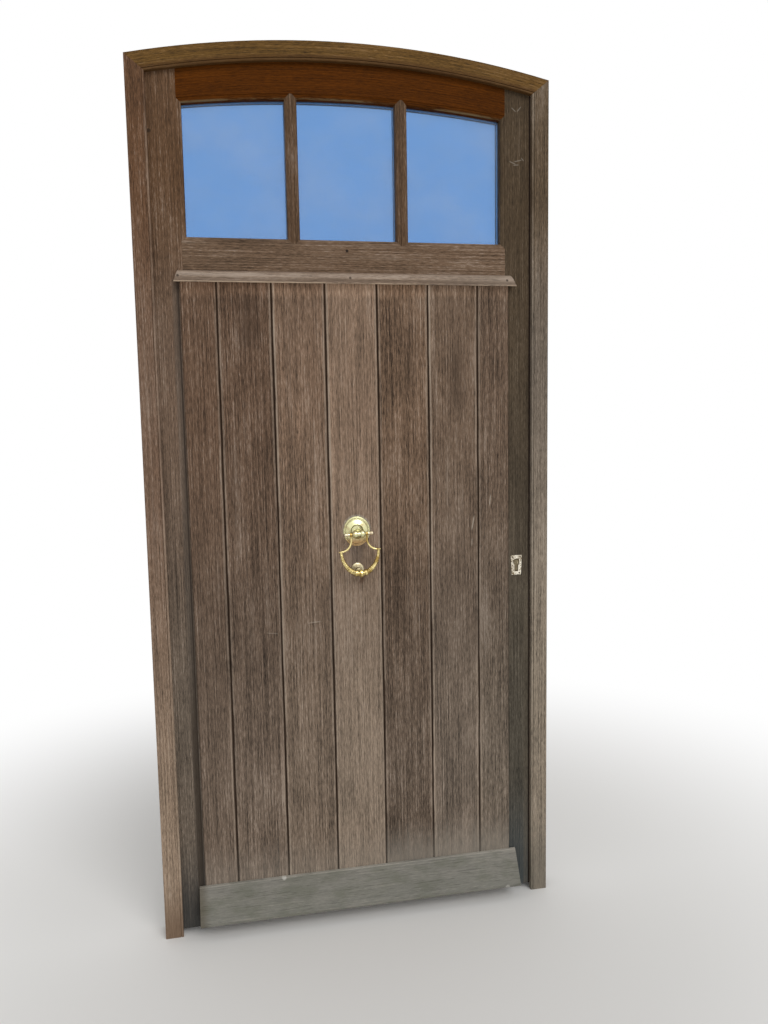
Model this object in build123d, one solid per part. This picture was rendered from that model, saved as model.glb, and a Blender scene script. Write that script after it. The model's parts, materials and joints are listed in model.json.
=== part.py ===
from build123d import *
import math
import os

# An arched front door in its timber frame: a stile-and-rail leaf with seven
# boards below, three arched panes above, a ring knocker and a mortise lock.
# X runs to the right as seen from the street, Y runs into the house, Z is up.
# The origin is at the foot of the frame, midway in its width and its depth.
# All sizes are in millimetres.

# Frame
FRAME_WIDTH = 1000.0
FRAME_FACE = 43.0
STOP_DEPTH = 12.0
STOP_COVER = 12.0
ARCH_SPRING_Z = 2052.0
ARCH_RISE = 46.0
BEAD_WIDTH = 5.0
BEAD_ROUND = 2.5
QUIRK_WIDTH = 1.5
QUIRK_DEPTH = 2.0
FIXING_HOLE_R = 4.0
FIXING_HOLE_Z = (500.0, 1500.0)

# Leaf
LEAF_THICKNESS = 45.0
EDGE_GAP = 3.0
FACE_GAP = 1.0
FOOT_GAP = 14.0
STILE_WIDTH = 75.0
MIDDLE_RAIL_Z = (1560.0, 1687.0)
BOTTOM_RAIL_HEIGHT = 136.0
LEDGE_Z = (700.0, 810.0)
TENON_THICKNESS = 12.0
TENON_LENGTH = 45.0
TENON_SHOULDER = 14.0

# Boards
BOARD_COUNT = 7
OUTER_BOARD_WIDTH = 82.5
BOARD_THICKNESS = 18.0
BOARD_PROUD = 3.0
BOARD_LAP = 9.0
BOARD_SIDE_GAP = 1.0
BOARD_TOP_Z = 1603.0
JOINT_GAP = 1.2
JOINT_VEE = 2.2
TONGUE_LENGTH = 7.0
TONGUE_THICKNESS = 5.0
TONGUE_PLAY = 0.2

# Glazing
MOULD_WIDTH = 11.0
MOULD_QUIRK = 1.5
MOULD_DEPTH = 6.0
MOULD_STEPS = 4
GLASS_CROWN_Z = 2017.0
GLASS_ARC_R = 3000.0
BAR_WIDTH = 29.0
PANE_COUNT = 3
GLASS_REBATE = 10.0
GLASS_SETBACK = 20.0
GLASS_PLAY = 2.0
SPACER_INSET = 1.0
GLASS_THICKNESS = 4.0
GLASS_CAVITY = 10.0
SPACER_WIDTH = 7.0
BEAD_CHAMFER = 3.0

# Drip moulding over the boards, weatherboard at the foot
DRIP_Z = (1593.0, 1622.0)
DRIP_REACH = 21.0
DRIP_HALF = 413.0
DRIP_SPLAY = 10.0
DRIP_LIP = (4.5, 5.0)
DRIP_LIP_LEDGE = 2.5
DRIP_THROAT = 3.0
DRIP_SWELL = (0.62, 0.66)
WEATHER_Z = (38.0, 122.0)
WEATHER_REACH = 48.0
WEATHER_HALF = 414.0
WEATHER_TOP_EDGE = 6.0
WEATHER_NOSE = 8.0
WEATHER_TOP_FALL = 1.0
WEATHER_CHAMFER = 2.0
WEATHER_GROOVE = 4.0

# Hinges
HINGE_Z = (230.0, 1020.0, 1850.0)
HINGE_HEIGHT = 100.0
HINGE_PLATE = 2.5
HINGE_PLATE_DEPTH = 30.0
KNUCKLE_COUNT = 5
KNUCKLE_R = 6.5
KNUCKLE_GAP = 0.4
KNUCKLE_OFFSET = 7.0
PIN_R = 4.0
PIN_PLAY = 0.06
PIN_CAP = 3.0
SWEEP_CLEAR = 0.5

# Lock
BACKSET = 46.0
CYLINDER_Z = 898.0
FOLLOWER_RISE = 72.0
CASE_HEIGHT = 165.0
CASE_DROP = 55.0
CASE_DEPTH = 62.0
CASE_THICKNESS = 15.0
CASE_WALL = 1.5
FACEPLATE_WIDTH = 22.0
FACEPLATE_HEIGHT = 225.0
FACEPLATE_THICKNESS = 3.0
LATCH_RISE = 87.0
LATCH_HEIGHT = 20.0
LATCH_LENGTH = 34.0
LATCH_THROW = 12.0
LATCH_BEVEL = 8.0
DEAD_RISE = 36.0
DEAD_HEIGHT = 28.0
DEAD_LENGTH = 38.0
DEAD_THROW = 20.0
BOLT_THICKNESS = 11.0
BOLT_PLAY = 0.15
STRIKE_THICKNESS = 2.5
STRIKE_MARGIN = 1.5
STRIKE_ENDS = 12.0
STRIKE_SCREW_GAP = 8.0
EDGE_SCREW_INSET = 9.0
POCKET_EXTRA = 2.0
CYLINDER_R = 8.5
CYLINDER_TAIL = 10.0
CYLINDER_HEIGHT = 33.0
CYLINDER_PLAY = 0.15
PLUG_R = 6.0
PLUG_PLAY = 0.05
CYLINDER_SET_BACK = 0.5
CYLINDER_STAND_OUT = 2.0
KEYWAY_WIDTH = 1.8
KEYWAY_DEPTH = 12.0
KEYWAY_RISE = (-4.6, 3.4)
CAM_WIDTH = 10.0
CAM_PLAY = 0.3
CAM_REACH = 14.5
CAM_NOSE = 7.0
SPINDLE_SIDE = 8.0
SPINDLE_DEPTH_IN_KNOB = 35.0
FOLLOWER_FLANGE = 2.5
FOLLOWER_PLAY = 0.2
FOLLOWER_ARM = (6.0, 21.0)

# Furniture on the leaf
OUTER_PLATE_TOP = 30.0
OUTER_PLATE_FOOT = 25.0
OUTER_PLATE_HEIGHT = 51.0
OUTER_PLATE_THICKNESS = 1.6
OUTER_PLATE_ROUND = 2.0
OUTER_PLATE_SCREW_INSET = 4.5
INNER_PLATE_WIDTH = 42.0
INNER_PLATE_HEIGHT = 230.0
INNER_PLATE_THICKNESS = 3.0
KNOB_NECK_R = 8.0
KNOB_SHAPE = (
    (13.0, 0.3), (13.0, 3.0), (9.0, 7.0), (9.0, 14.0), (23.5, 27.0), (25.0, 35.0), (22.0, 45.0), (8.5, 50.0),
)
THUMB_SHAPE = ((8.5, 0.3), (8.5, 4.0), (17.0, 5.0), (20.0, 7.5), (20.0, 17.0), (16.5, 20.0))
GRIP_WIDTH = 8.0
GRIP_LENGTH = 30.0
GRIP_HEIGHT = 4.0
GRIP_ROOT = 1.0

# Knocker
KNOCKER_X = 2.0
KNOCKER_Z = 997.0
KNOCKER_TILT = 2.5
ROSE_HALF_WIDTH = 33.0
ROSE_HALF_HEIGHT = 36.5
ROSE_SHAPE = (
    (0.97, 0.0), (1.0, 1.0), (1.0, 2.0), (0.84, 3.4), (0.8, 5.4), (0.5, 9.5), (0.46, 8.1), (0.3, 14.0),
)
ROSE_NECK_R = 7.0
KNUCKLE_SHAPE = ((6.6, 0.3), (8.6, 0.3), (9.4, 0.5), (9.4, 0.72), (6.0, 1.0))
KNUCKLE_SIDE_GAP = 1.0
KNOCKER_PIN_DROP = 3.5
KNOCKER_PIN_REACH = 30.0
KNOCKER_PIN_R = 2.5
KNOCKER_BALL_R = 4.8
BALL_STEPS = 8
PIN_COLLAR_R = 3.7
PIN_COLLAR_GAP = 0.4
KNOCKER_BALL_X = 32.0
EYE_X = 19.5
EYE_R = 4.6
EYE_LENGTH = 6.0
EYE_PLAY = 0.08
ARM_R = 2.5
ARM_DROP = 14.0
ARM_BEND = 27.0
BOW_DROP = 57.0
BOW_R = (3.2, 6.4)
BOW_STEP = 15
POINT_LENGTH = 8.0
POINT_R = (3.8, 0.8)
ORNAMENT = (
    (22, 0.9, 3.6), (30, 0.9, 3.8), (52, 0.9, 4.4), (60, 0.9, 4.6), (75, 1.6, 6.5), (90, 3.0, 8.0),
    (105, 1.6, 6.5), (120, 0.9, 4.6), (128, 0.9, 4.4), (150, 0.9, 3.8), (158, 0.9, 3.6),
)
STRIKE_X = 2.0
STRIKE_DROP = 95.0
STRIKE_R = 15.5
STRIKE_FOOT_SHAPE = ((0.95, 0.0), (1.0, 0.8), (1.0, 1.8), (0.8, 3.2), (0.6, 6.0), (0.42, 8.5))
STRIKE_HEAD_SHAPE = ((0.42, 2.0), (0.36, 0.5), (0.22, 0.0))
STRIKE_SEAT_GAP = 0.3
STUD_R = 3.0
STUD_PLAY = 0.1
STUD_PAST_BOARD = 6.0
STUD_ROOT = 1.0
NUT_SHAPE = ((6.5, 0.0), (6.5, 3.5), (5.0, 6.5), (2.5, 8.0))

# Screws
SCREW_HEAD_R = 4.0
SCREW_HEAD_DEPTH = 2.2
SCREW_R = 2.0
SCREW_LENGTH = 16.0
SMALL_SCREW = 0.5

# Places that follow from the sizes above
FRAME_HALF = FRAME_WIDTH / 2
SIGHT_HALF = FRAME_HALF - FRAME_FACE
REBATE_HALF = SIGHT_HALF + STOP_COVER
LEAF_HALF = REBATE_HALF - EDGE_GAP
STILE_IN = LEAF_HALF - STILE_WIDTH
FRAME_DEPTH = STOP_DEPTH + FACE_GAP + LEAF_THICKNESS
FRAME_OUT_Y = -FRAME_DEPTH / 2
STOP_BACK_Y = FRAME_OUT_Y + STOP_DEPTH
LEAF_OUT_Y = STOP_BACK_Y + FACE_GAP
LEAF_IN_Y = LEAF_OUT_Y + LEAF_THICKNESS
LEAF_MID_Y = (LEAF_OUT_Y + LEAF_IN_Y) / 2
BOARD_OUT_Y = LEAF_OUT_Y - BOARD_PROUD
BOARD_IN_Y = BOARD_OUT_Y + BOARD_THICKNESS
BOARD_BED_HALF = STILE_IN + BOARD_LAP
BOARD_PITCH = 2 * (BOARD_BED_HALF - OUTER_BOARD_WIDTH) / (BOARD_COUNT - 2)
ARCH_R = (SIGHT_HALF**2 + ARCH_RISE**2) / (2 * ARCH_RISE)
ARCH_CROWN_Z = ARCH_SPRING_Z + ARCH_RISE
ARCH_CENTRE_Z = ARCH_CROWN_Z - ARCH_R
LEAF_ARC_R = ARCH_R + STOP_COVER - EDGE_GAP
GLASS_HALF = STILE_IN - MOULD_WIDTH
GLASS_CENTRE_Z = GLASS_CROWN_Z - GLASS_ARC_R
GLASS_FOOT_Z = MIDDLE_RAIL_Z[1] + MOULD_WIDTH
GLASS_OUT_Y = LEAF_OUT_Y + GLASS_SETBACK
GLASS_IN_Y = GLASS_OUT_Y + 2 * GLASS_THICKNESS + GLASS_CAVITY
PANE_WIDTH = (2 * GLASS_HALF - (PANE_COUNT - 1) * BAR_WIDTH) / PANE_COUNT
HINGE_X = -(LEAF_HALF + EDGE_GAP / 2)
HINGE_Y = LEAF_IN_Y + KNUCKLE_OFFSET
LOCK_X = LEAF_HALF - BACKSET
CASE_FRONT_X = LEAF_HALF - FACEPLATE_THICKNESS
CASE_BACK_X = CASE_FRONT_X - CASE_DEPTH
CASE_FOOT_Z = CYLINDER_Z - CASE_DROP
CASE_TOP_Z = CASE_FOOT_Z + CASE_HEIGHT
CASE_OUT_Y = LEAF_MID_Y - CASE_THICKNESS / 2
CASE_IN_Y = LEAF_MID_Y + CASE_THICKNESS / 2
FOLLOWER_Z = CYLINDER_Z + FOLLOWER_RISE
LATCH_Z = CYLINDER_Z + LATCH_RISE
DEAD_Z = CYLINDER_Z + DEAD_RISE
PLATE_IN_Y = LEAF_IN_Y + INNER_PLATE_THICKNESS
KNOCKER_PIN_Y = BOARD_OUT_Y - KNOCKER_PIN_REACH
KNOCKER_PIN_Z = KNOCKER_Z - KNOCKER_PIN_DROP
STRIKE_Z = KNOCKER_Z - STRIKE_DROP
OVER = 5.0


def block(x_span, y_span, z_span):
    """A square-cornered solid between pairs of limits on the three axes."""
    size = [high - low for low, high in (x_span, y_span, z_span)]
    middle = [(high + low) / 2 for low, high in (x_span, y_span, z_span)]
    return Pos(*middle) * Box(*size)


def about(middle, size):
    """The two limits of a size laid evenly about a middle."""
    return (middle - size / 2, middle + size / 2)


def arc_z(x, radius, centre_z):
    """Height of an arc about a point on the door's centre line."""
    return centre_z + math.sqrt(radius**2 - x**2)


def leaf_arc_z(x):
    return arc_z(x, LEAF_ARC_R, ARCH_CENTRE_Z)


def glass_arc_z(x, offset=0.0):
    return arc_z(x, GLASS_ARC_R + offset, GLASS_CENTRE_Z)


def upright(edges, y_span):
    """Extrude an outline drawn in the plane of the door's face through a depth."""
    face = make_face(edges)
    return extrude(Pos(0, y_span[0], 0) * face, amount=y_span[1] - y_span[0], dir=(0, 1, 0))


def outline(points, close=True):
    """Straight edges through points given as pairs of x and z."""
    return Polyline(*[(x, 0, z) for x, z in points], close=close)


def arch_edge(x_from, x_to, height_at):
    """An arc over a width, through the heights that a function gives."""
    middle = (x_from + x_to) / 2
    ends = [(x, 0, height_at(x)) for x in (x_from, middle, x_to)]
    return ThreePointArc(*ends)


def rod(start, end, radius):
    """A round bar between two points."""
    way = Vector(*end) - Vector(*start)
    return Solid.make_cylinder(radius, way.length, Plane(origin=start, z_dir=way))


def turned(points, place):
    """A turned form: radius and height pairs about an axis, set in a place."""
    foot, top = points[0][1], points[-1][1]
    profile = Polyline((0, 0, foot), *[(r, 0, h) for r, h in points], (0, 0, top), close=True)
    return place * revolve(make_face(profile), Axis.Z)


def screw_hole(head, direction, scale_by=1.0):
    """The countersunk hole of a screw whose head lies flush with a surface."""
    place = Plane(origin=head, z_dir=direction)
    depth = SCREW_HEAD_DEPTH * scale_by
    cone = Solid.make_cone(SCREW_HEAD_R * scale_by, SCREW_R * scale_by, depth, place)
    shank = Solid.make_cylinder(SCREW_R * scale_by, SCREW_LENGTH * scale_by, place.offset(depth))
    return cone + shank


# Frame

def facing_section(place):
    """The section of the frame's facing, with a quirked bead along its sight edge.

    The first number is the distance from the sight edge towards the wall and the
    second is the depth; place turns the pair into a point.
    """
    y = FRAME_OUT_Y
    bow = BEAD_ROUND * (1 - math.sqrt(0.5))
    start = place(0, y + BEAD_ROUND)
    bead_top = place(BEAD_ROUND, y)
    bead = ThreePointArc(start, place(bow, y + bow), bead_top)
    rest = [
        (BEAD_WIDTH, y),
        (BEAD_WIDTH, y + QUIRK_DEPTH),
        (BEAD_WIDTH + QUIRK_WIDTH, y + QUIRK_DEPTH),
        (BEAD_WIDTH + QUIRK_WIDTH, y),
        (FRAME_FACE, y),
        (FRAME_FACE, STOP_BACK_Y),
        (0, STOP_BACK_Y),
    ]
    return make_face([bead, Polyline(bead_top, *[place(*p) for p in rest], start)])


def lining_section(place):
    """The plain section of the lining behind the facing; the step between them is the rebate."""
    corners = [
        (STOP_COVER, STOP_BACK_Y),
        (FRAME_FACE, STOP_BACK_Y),
        (FRAME_FACE, FRAME_OUT_Y + FRAME_DEPTH),
        (STOP_COVER, FRAME_OUT_Y + FRAME_DEPTH),
    ]
    return make_face(Polyline(*[place(*p) for p in corners], close=True))


def corner_region(above):
    """The part of the right corner above or below the mitre between jamb and head."""
    lean = math.asin(SIGHT_HALF / ARCH_R)
    slope = math.cos(lean) / (1 + math.sin(lean))
    low_x, high_x = SIGHT_HALF - OVER, FRAME_HALF + OVER
    cut = [(x, ARCH_SPRING_Z + (x - SIGHT_HALF) * slope) for x in (low_x, high_x)]
    far_z = ARCH_CROWN_Z + FRAME_FACE + OVER if above else 0.0
    points = cut + [(high_x, far_z), (low_x, far_z)]
    return upright(outline(points), (FRAME_OUT_Y - OVER, FRAME_OUT_Y + FRAME_DEPTH + OVER))


def fixing_holes():
    """Holes through a jamb for the screws that go into the wall."""
    return [
        rod((SIGHT_HALF - OVER, LEAF_MID_Y, z), (FRAME_HALF + OVER, LEAF_MID_Y, z), FIXING_HOLE_R)
        for z in FIXING_HOLE_Z
    ]


def jamb(section_at):
    """One layer of the right jamb, before anything is let into it."""
    section = section_at(lambda d, y: (SIGHT_HALF + d, y, 0))
    post = extrude(section, amount=ARCH_CROWN_Z, dir=(0, 0, 1))
    return post - corner_region(above=True)


def head(section_at):
    """One layer of the arched head: its section turned about the arch's centre."""
    section = section_at(lambda d, y: (0, y, ARCH_CROWN_Z + d))
    half_angle = math.degrees(math.asin(FRAME_HALF / ARCH_R)) + 1
    axis = Axis((0, 0, ARCH_CENTRE_Z), (0, 1, 0))
    ring = revolve(section.rotate(axis, -half_angle), axis, 2 * half_angle)
    past_wall = block(
        (FRAME_HALF, FRAME_WIDTH), (FRAME_OUT_Y - OVER, FRAME_DEPTH), (0, 2 * ARCH_CROWN_Z)
    )
    cut = past_wall + corner_region(above=False)
    return ring - cut - mirror(cut, Plane.YZ)


def frame(nodes):
    """Jambs and arched head, each a facing planted on a lining."""
    for layer, section_at in (("facing", facing_section), ("lining", lining_section)):
        right = jamb(section_at) - fixing_holes() if layer == "lining" else jamb(section_at)
        nodes[f"frame_{layer}_left"] = mirror(right, Plane.YZ)
        nodes[f"frame_{layer}_right"] = right
        nodes[f"frame_{layer}_arch"] = head(section_at)


# Leaf

def pane_spans():
    """Left and right sight edges of each pane."""
    step = PANE_WIDTH + BAR_WIDTH
    return [(-GLASS_HALF + i * step, -GLASS_HALF + i * step + PANE_WIDTH) for i in range(PANE_COUNT)]


def pane_edges(span, offset):
    """A pane's outline, let out by an offset on every side."""
    left, right = span[0] - offset, span[1] + offset
    foot = GLASS_FOOT_Z - offset
    top_left = (left, 0, glass_arc_z(left, offset))
    top_right = (right, 0, glass_arc_z(right, offset))
    sides = Polyline(top_left, (left, 0, foot), (right, 0, foot), top_right)
    return [sides, arch_edge(left, right, lambda x: glass_arc_z(x, offset))]


def pane_layer(span, offset, y_span):
    return upright(pane_edges(span, offset), y_span)


def moulding_cut(span):
    """What is taken off round a pane: a quirk, an ovolo and the rebate for the glass."""
    quirk = pane_layer(span, MOULD_WIDTH, (LEAF_OUT_Y - OVER, LEAF_OUT_Y + MOULD_QUIRK))
    reach = MOULD_WIDTH - MOULD_QUIRK
    sections = []
    for step in range(MOULD_STEPS + 1):
        turn = math.radians(90 * step / MOULD_STEPS)
        depth = MOULD_QUIRK + MOULD_DEPTH * (1 - math.sin(turn))
        face = make_face(pane_edges(span, reach * (1 - math.cos(turn))))
        sections.append(Pos(0, LEAF_OUT_Y + depth, 0) * face)
    ovolo = loft(sections, ruled=True)
    through = pane_layer(span, 0.0, (LEAF_OUT_Y - OVER, LEAF_IN_Y + OVER))
    rebate = pane_layer(span, GLASS_REBATE, (GLASS_OUT_Y, LEAF_IN_Y + OVER))
    return [quirk, ovolo, through, rebate]


def tenon(z_span):
    """A tenon at the right end of a rail, between two heights."""
    return block((STILE_IN, STILE_IN + TENON_LENGTH), about(LEAF_MID_Y, TENON_THICKNESS), z_span)


def rail_tenons():
    """The right tenons of the four rails, by rail."""
    glass_side_z = glass_arc_z(STILE_IN, MOULD_WIDTH)
    return {
        "bottom": tenon((FOOT_GAP + TENON_SHOULDER, FOOT_GAP + BOTTOM_RAIL_HEIGHT - TENON_SHOULDER)),
        "ledge": tenon((LEDGE_Z[0] + TENON_SHOULDER, LEDGE_Z[1] - TENON_SHOULDER)),
        "middle": tenon((MIDDLE_RAIL_Z[0] + TENON_SHOULDER, MIDDLE_RAIL_Z[1] - TENON_SHOULDER)),
        "top": tenon((glass_side_z + TENON_SHOULDER / 2, leaf_arc_z(LEAF_HALF) - TENON_SHOULDER)),
    }


def both_ends(solid):
    return [solid, mirror(solid, Plane.YZ)]


def stile():
    """The right stile, with its mortises, board rebate and glazing moulding."""
    shoulder_z = glass_arc_z(STILE_IN, MOULD_WIDTH)
    side = [
        (STILE_IN, leaf_arc_z(STILE_IN)),
        (STILE_IN, shoulder_z),
        (GLASS_HALF, glass_arc_z(GLASS_HALF)),
        (GLASS_HALF, GLASS_FOOT_Z),
        (STILE_IN, MIDDLE_RAIL_Z[1]),
        (STILE_IN, FOOT_GAP),
        (LEAF_HALF, FOOT_GAP),
        (LEAF_HALF, leaf_arc_z(LEAF_HALF)),
    ]
    edges = [outline(side, close=False), arch_edge(STILE_IN, LEAF_HALF, leaf_arc_z)]
    body = upright(edges, (LEAF_OUT_Y, LEAF_IN_Y))
    bed = block(
        (STILE_IN - OVER, BOARD_BED_HALF), (LEAF_OUT_Y - OVER, BOARD_IN_Y), (0, BOARD_TOP_Z)
    )
    return body - bed - list(rail_tenons().values()) - moulding_cut(pane_spans()[-1])


def plain_rail(z_span, name):
    """A rail behind the boards, with a tenon at each end."""
    body = block((-STILE_IN, STILE_IN), (BOARD_IN_Y, LEAF_IN_Y), z_span)
    return body + both_ends(rail_tenons()[name])


def middle_rail():
    """The rail under the glass; its lower part steps back to take the boards."""
    top = [(STILE_IN, MIDDLE_RAIL_Z[1]), (GLASS_HALF, GLASS_FOOT_Z)]
    foot = [(STILE_IN, MIDDLE_RAIL_Z[0])]
    right = foot + top
    left = [(-x, z) for x, z in reversed(right)]
    body = upright(outline(right + left), (LEAF_OUT_Y, LEAF_IN_Y))
    step = block(
        (-STILE_IN - OVER, STILE_IN + OVER), (LEAF_OUT_Y - OVER, BOARD_IN_Y), (0, BOARD_TOP_Z)
    )
    return body - step + both_ends(rail_tenons()["middle"])


def top_rail():
    """The arched rail between the stiles, over the glass."""
    shoulder_z = glass_arc_z(STILE_IN, MOULD_WIDTH)
    right = [
        (GLASS_HALF, glass_arc_z(GLASS_HALF)),
        (STILE_IN, shoulder_z),
        (STILE_IN, leaf_arc_z(STILE_IN)),
    ]
    left = [(-x, z) for x, z in right]
    edges = [
        arch_edge(-GLASS_HALF, GLASS_HALF, glass_arc_z),
        outline(right, close=False),
        arch_edge(-STILE_IN, STILE_IN, leaf_arc_z),
        outline(left, close=False),
    ]
    return upright(edges, (LEAF_OUT_Y, LEAF_IN_Y)) + both_ends(rail_tenons()["top"])


def glazing_bar(x):
    """An upright bar between two panes, its mouldings mitred into the rails."""
    half = BAR_WIDTH / 2
    flat = half - MOULD_WIDTH
    points = [
        (x - flat, MIDDLE_RAIL_Z[1]),
        (x + flat, MIDDLE_RAIL_Z[1]),
        (x + half, GLASS_FOOT_Z),
        (x + half, glass_arc_z(x + half)),
        (x + flat, glass_arc_z(x + flat, MOULD_WIDTH)),
        (x - flat, glass_arc_z(x - flat, MOULD_WIDTH)),
        (x - half, glass_arc_z(x - half)),
        (x - half, GLASS_FOOT_Z),
    ]
    return upright(outline(points), (LEAF_OUT_Y, LEAF_IN_Y))


def glazing(nodes):
    """Bars, sealed double panes, spacers and inner beads; the rails are cut for them."""
    spans = pane_spans()
    cuts = [cut for span in spans for cut in moulding_cut(span)]
    bars = [glazing_bar(span[1] + BAR_WIDTH / 2) for span in spans[:-1]]
    for rail in ("middle_rail", "top_rail"):
        nodes[rail] = nodes[rail] - bars - cuts
    for number, bar in enumerate(bars, 1):
        nodes[f"glazing_bar_{number}"] = bar - cuts
    outer = (GLASS_OUT_Y, GLASS_OUT_Y + GLASS_THICKNESS)
    inner = (GLASS_IN_Y - GLASS_THICKNESS, GLASS_IN_Y)
    edge = GLASS_REBATE - GLASS_PLAY
    for number, span in enumerate(spans, 1):
        sheets = [pane_layer(span, edge, y_span) for y_span in (outer, inner)]
        nodes[f"glass_pane_{number}"] = Compound(sheets)
        rim_edge = edge - SPACER_INSET
        rim = pane_layer(span, rim_edge, (outer[1], inner[0]))
        hole = pane_layer(span, rim_edge - SPACER_WIDTH, (outer[1] - OVER, inner[0] + OVER))
        nodes[f"glass_spacer_{number}"] = rim - hole
        nodes[f"glazing_beads_{number}"] = inner_beads(span)


def inner_beads(span):
    """Four mitred beads that hold a pane from inside the house."""
    depth = (GLASS_IN_Y - OVER, LEAF_IN_Y + OVER)
    ring = pane_layer(span, GLASS_REBATE, (GLASS_IN_Y, LEAF_IN_Y)) - pane_layer(span, 0.0, depth)
    slope = loft(
        [
            Pos(0, LEAF_IN_Y - BEAD_CHAMFER, 0) * make_face(pane_edges(span, 0.0)),
            Pos(0, LEAF_IN_Y, 0) * make_face(pane_edges(span, BEAD_CHAMFER)),
        ],
        ruled=True,
    )
    ring = ring - slope
    left, right = span
    low = GLASS_FOOT_Z
    reach = GLASS_REBATE + OVER
    middle_x = (left + right) / 2
    half = (right - left) / 2
    foot = [(left - reach, low - reach), (right + reach, low - reach), (middle_x, low + half)]
    foot_bead = ring & upright(outline(foot), depth)
    side_beads = []
    for edge, way in ((left, -1), (right, 1)):
        high = glass_arc_z(edge)
        side = [
            (edge + way * reach, low - reach),
            (edge - way * half, low + half),
            (edge - way * half, high - half),
            (edge + way * reach, high + reach),
        ]
        side_beads.append(ring & upright(outline(side), depth))
    top_bead = ring - foot_bead - side_beads
    return Compound([bead.solid() for bead in (foot_bead, *side_beads, top_bead)])


# Boards, drip moulding and weatherboard

def board(number):
    """One board of the tongued and grooved field, counted from the left."""
    inner = (number - 1 - BOARD_COUNT / 2) * BOARD_PITCH
    outer = inner + BOARD_PITCH
    field = BOARD_BED_HALF - BOARD_SIDE_GAP
    left = -field if number == 1 else inner + JOINT_GAP / 2
    right = field if number == BOARD_COUNT else outer - JOINT_GAP / 2
    front, back = BOARD_OUT_Y, BOARD_IN_Y
    middle = (front + back) / 2
    tongue = TONGUE_THICKNESS / 2
    groove = tongue + TONGUE_PLAY
    points = [(left + JOINT_VEE, front), (right - JOINT_VEE, front), (right, front + JOINT_VEE)]
    if number < BOARD_COUNT:
        points += [
            (right, middle - tongue),
            (right + TONGUE_LENGTH, middle - tongue),
            (right + TONGUE_LENGTH, middle + tongue),
            (right, middle + tongue),
        ]
    points += [(right, back), (left, back)]
    if number > 1:
        deep = left + TONGUE_LENGTH
        points += [
            (left, middle + groove),
            (deep, middle + groove),
            (deep, middle - groove),
            (left, middle - groove),
        ]
    points += [(left, front + JOINT_VEE)]
    section = make_face(Polyline(*[(x, y, FOOT_GAP) for x, y in points], close=True))
    return extrude(section, amount=BOARD_TOP_Z - FOOT_GAP, dir=(0, 0, 1))


def across(edges, half_width):
    """Extrude a section drawn in depth and height to both sides of the centre line."""
    face = make_face(edges)
    return extrude(Pos(-half_width, 0, 0) * face, amount=2 * half_width, dir=(1, 0, 0))


def drip_moulding():
    """A rounded moulding with a thin drip lip, its ends splayed back."""
    foot, top = DRIP_Z
    front = BOARD_OUT_Y - DRIP_REACH
    lip_back, lip_top = front + DRIP_LIP[0], foot + DRIP_LIP[1]
    throat = foot + DRIP_THROAT
    swell_start = (0, front + DRIP_LIP_LEDGE, lip_top)
    swell_end = (0, LEAF_OUT_Y, top)
    swell_out, swell_up = DRIP_SWELL
    swell_middle = (0, BOARD_OUT_Y - DRIP_REACH * swell_out, foot + (top - foot) * swell_up)
    low = [
        (LEAF_OUT_Y, top),
        (LEAF_OUT_Y, BOARD_TOP_Z),
        (BOARD_OUT_Y, BOARD_TOP_Z),
        (BOARD_OUT_Y, throat),
        (lip_back, throat),
        (lip_back, foot),
        (front, foot),
        (front, lip_top),
        (front + DRIP_LIP_LEDGE, lip_top),
    ]
    swell = ThreePointArc(swell_start, swell_middle, swell_end)
    section = [Polyline(*[(0, y, z) for y, z in low]), swell]
    body = across(section, DRIP_HALF)
    splay = outline([(DRIP_HALF, foot), (DRIP_HALF, top + OVER), (DRIP_HALF - DRIP_SPLAY, top)])
    wedge = upright(splay, (front - OVER, 0))
    return body - both_ends(wedge)


def weatherboard():
    """A board with a sloping face that throws the rain clear of the foot."""
    foot, top = WEATHER_Z
    back = BOARD_OUT_Y
    front = back - WEATHER_REACH
    groove = WEATHER_GROOVE
    points = [
        (back, top),
        (back - WEATHER_TOP_EDGE, top - WEATHER_TOP_FALL),
        (front, foot + WEATHER_NOSE),
        (front, foot + WEATHER_CHAMFER),
        (front + WEATHER_CHAMFER, foot),
        (front + 2 * groove, foot),
        (front + 2 * groove, foot + groove),
        (front + 3 * groove, foot + groove),
        (front + 3 * groove, foot),
        (back, foot + groove),
    ]
    return across(Polyline(*[(0, y, z) for y, z in points], close=True), WEATHER_HALF)


# Hinges

def knuckle_spans(middle_z):
    """Heights of the knuckles of a hinge, from its foot up."""
    foot = middle_z - HINGE_HEIGHT / 2
    step = HINGE_HEIGHT / KNUCKLE_COUNT
    return [(foot + i * step, foot + (i + 1) * step) for i in range(KNUCKLE_COUNT)]


def hinge_plate_box(side, middle_z):
    """The flat plate of a hinge; side is -1 on the frame and +1 on the leaf."""
    face = HINGE_X + side * EDGE_GAP / 2
    x_span = sorted((face, face + side * HINGE_PLATE))
    half = HINGE_HEIGHT / 2
    return block(x_span, (LEAF_IN_Y - HINGE_PLATE_DEPTH, HINGE_Y), (middle_z - half, middle_z + half))


def hinge_half(side, middle_z, bore_r):
    """One half of a butt hinge: its plate and every other knuckle."""
    body = hinge_plate_box(side, middle_z)
    for number, (low, high) in enumerate(knuckle_spans(middle_z)):
        own = number % 2 == (0 if side < 0 else 1)
        start, end = (HINGE_X, HINGE_Y, low), (HINGE_X, HINGE_Y, high)
        if own:
            body = body + rod(start, end, KNUCKLE_R)
        else:
            wide = Vector(0, 0, KNUCKLE_GAP)
            body = body - rod(Vector(*start) - wide, Vector(*end) + wide, KNUCKLE_R + SWEEP_CLEAR)
    foot, top = middle_z - HINGE_HEIGHT, middle_z + HINGE_HEIGHT
    return body - rod((HINGE_X, HINGE_Y, foot), (HINGE_X, HINGE_Y, top), bore_r)


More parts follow.
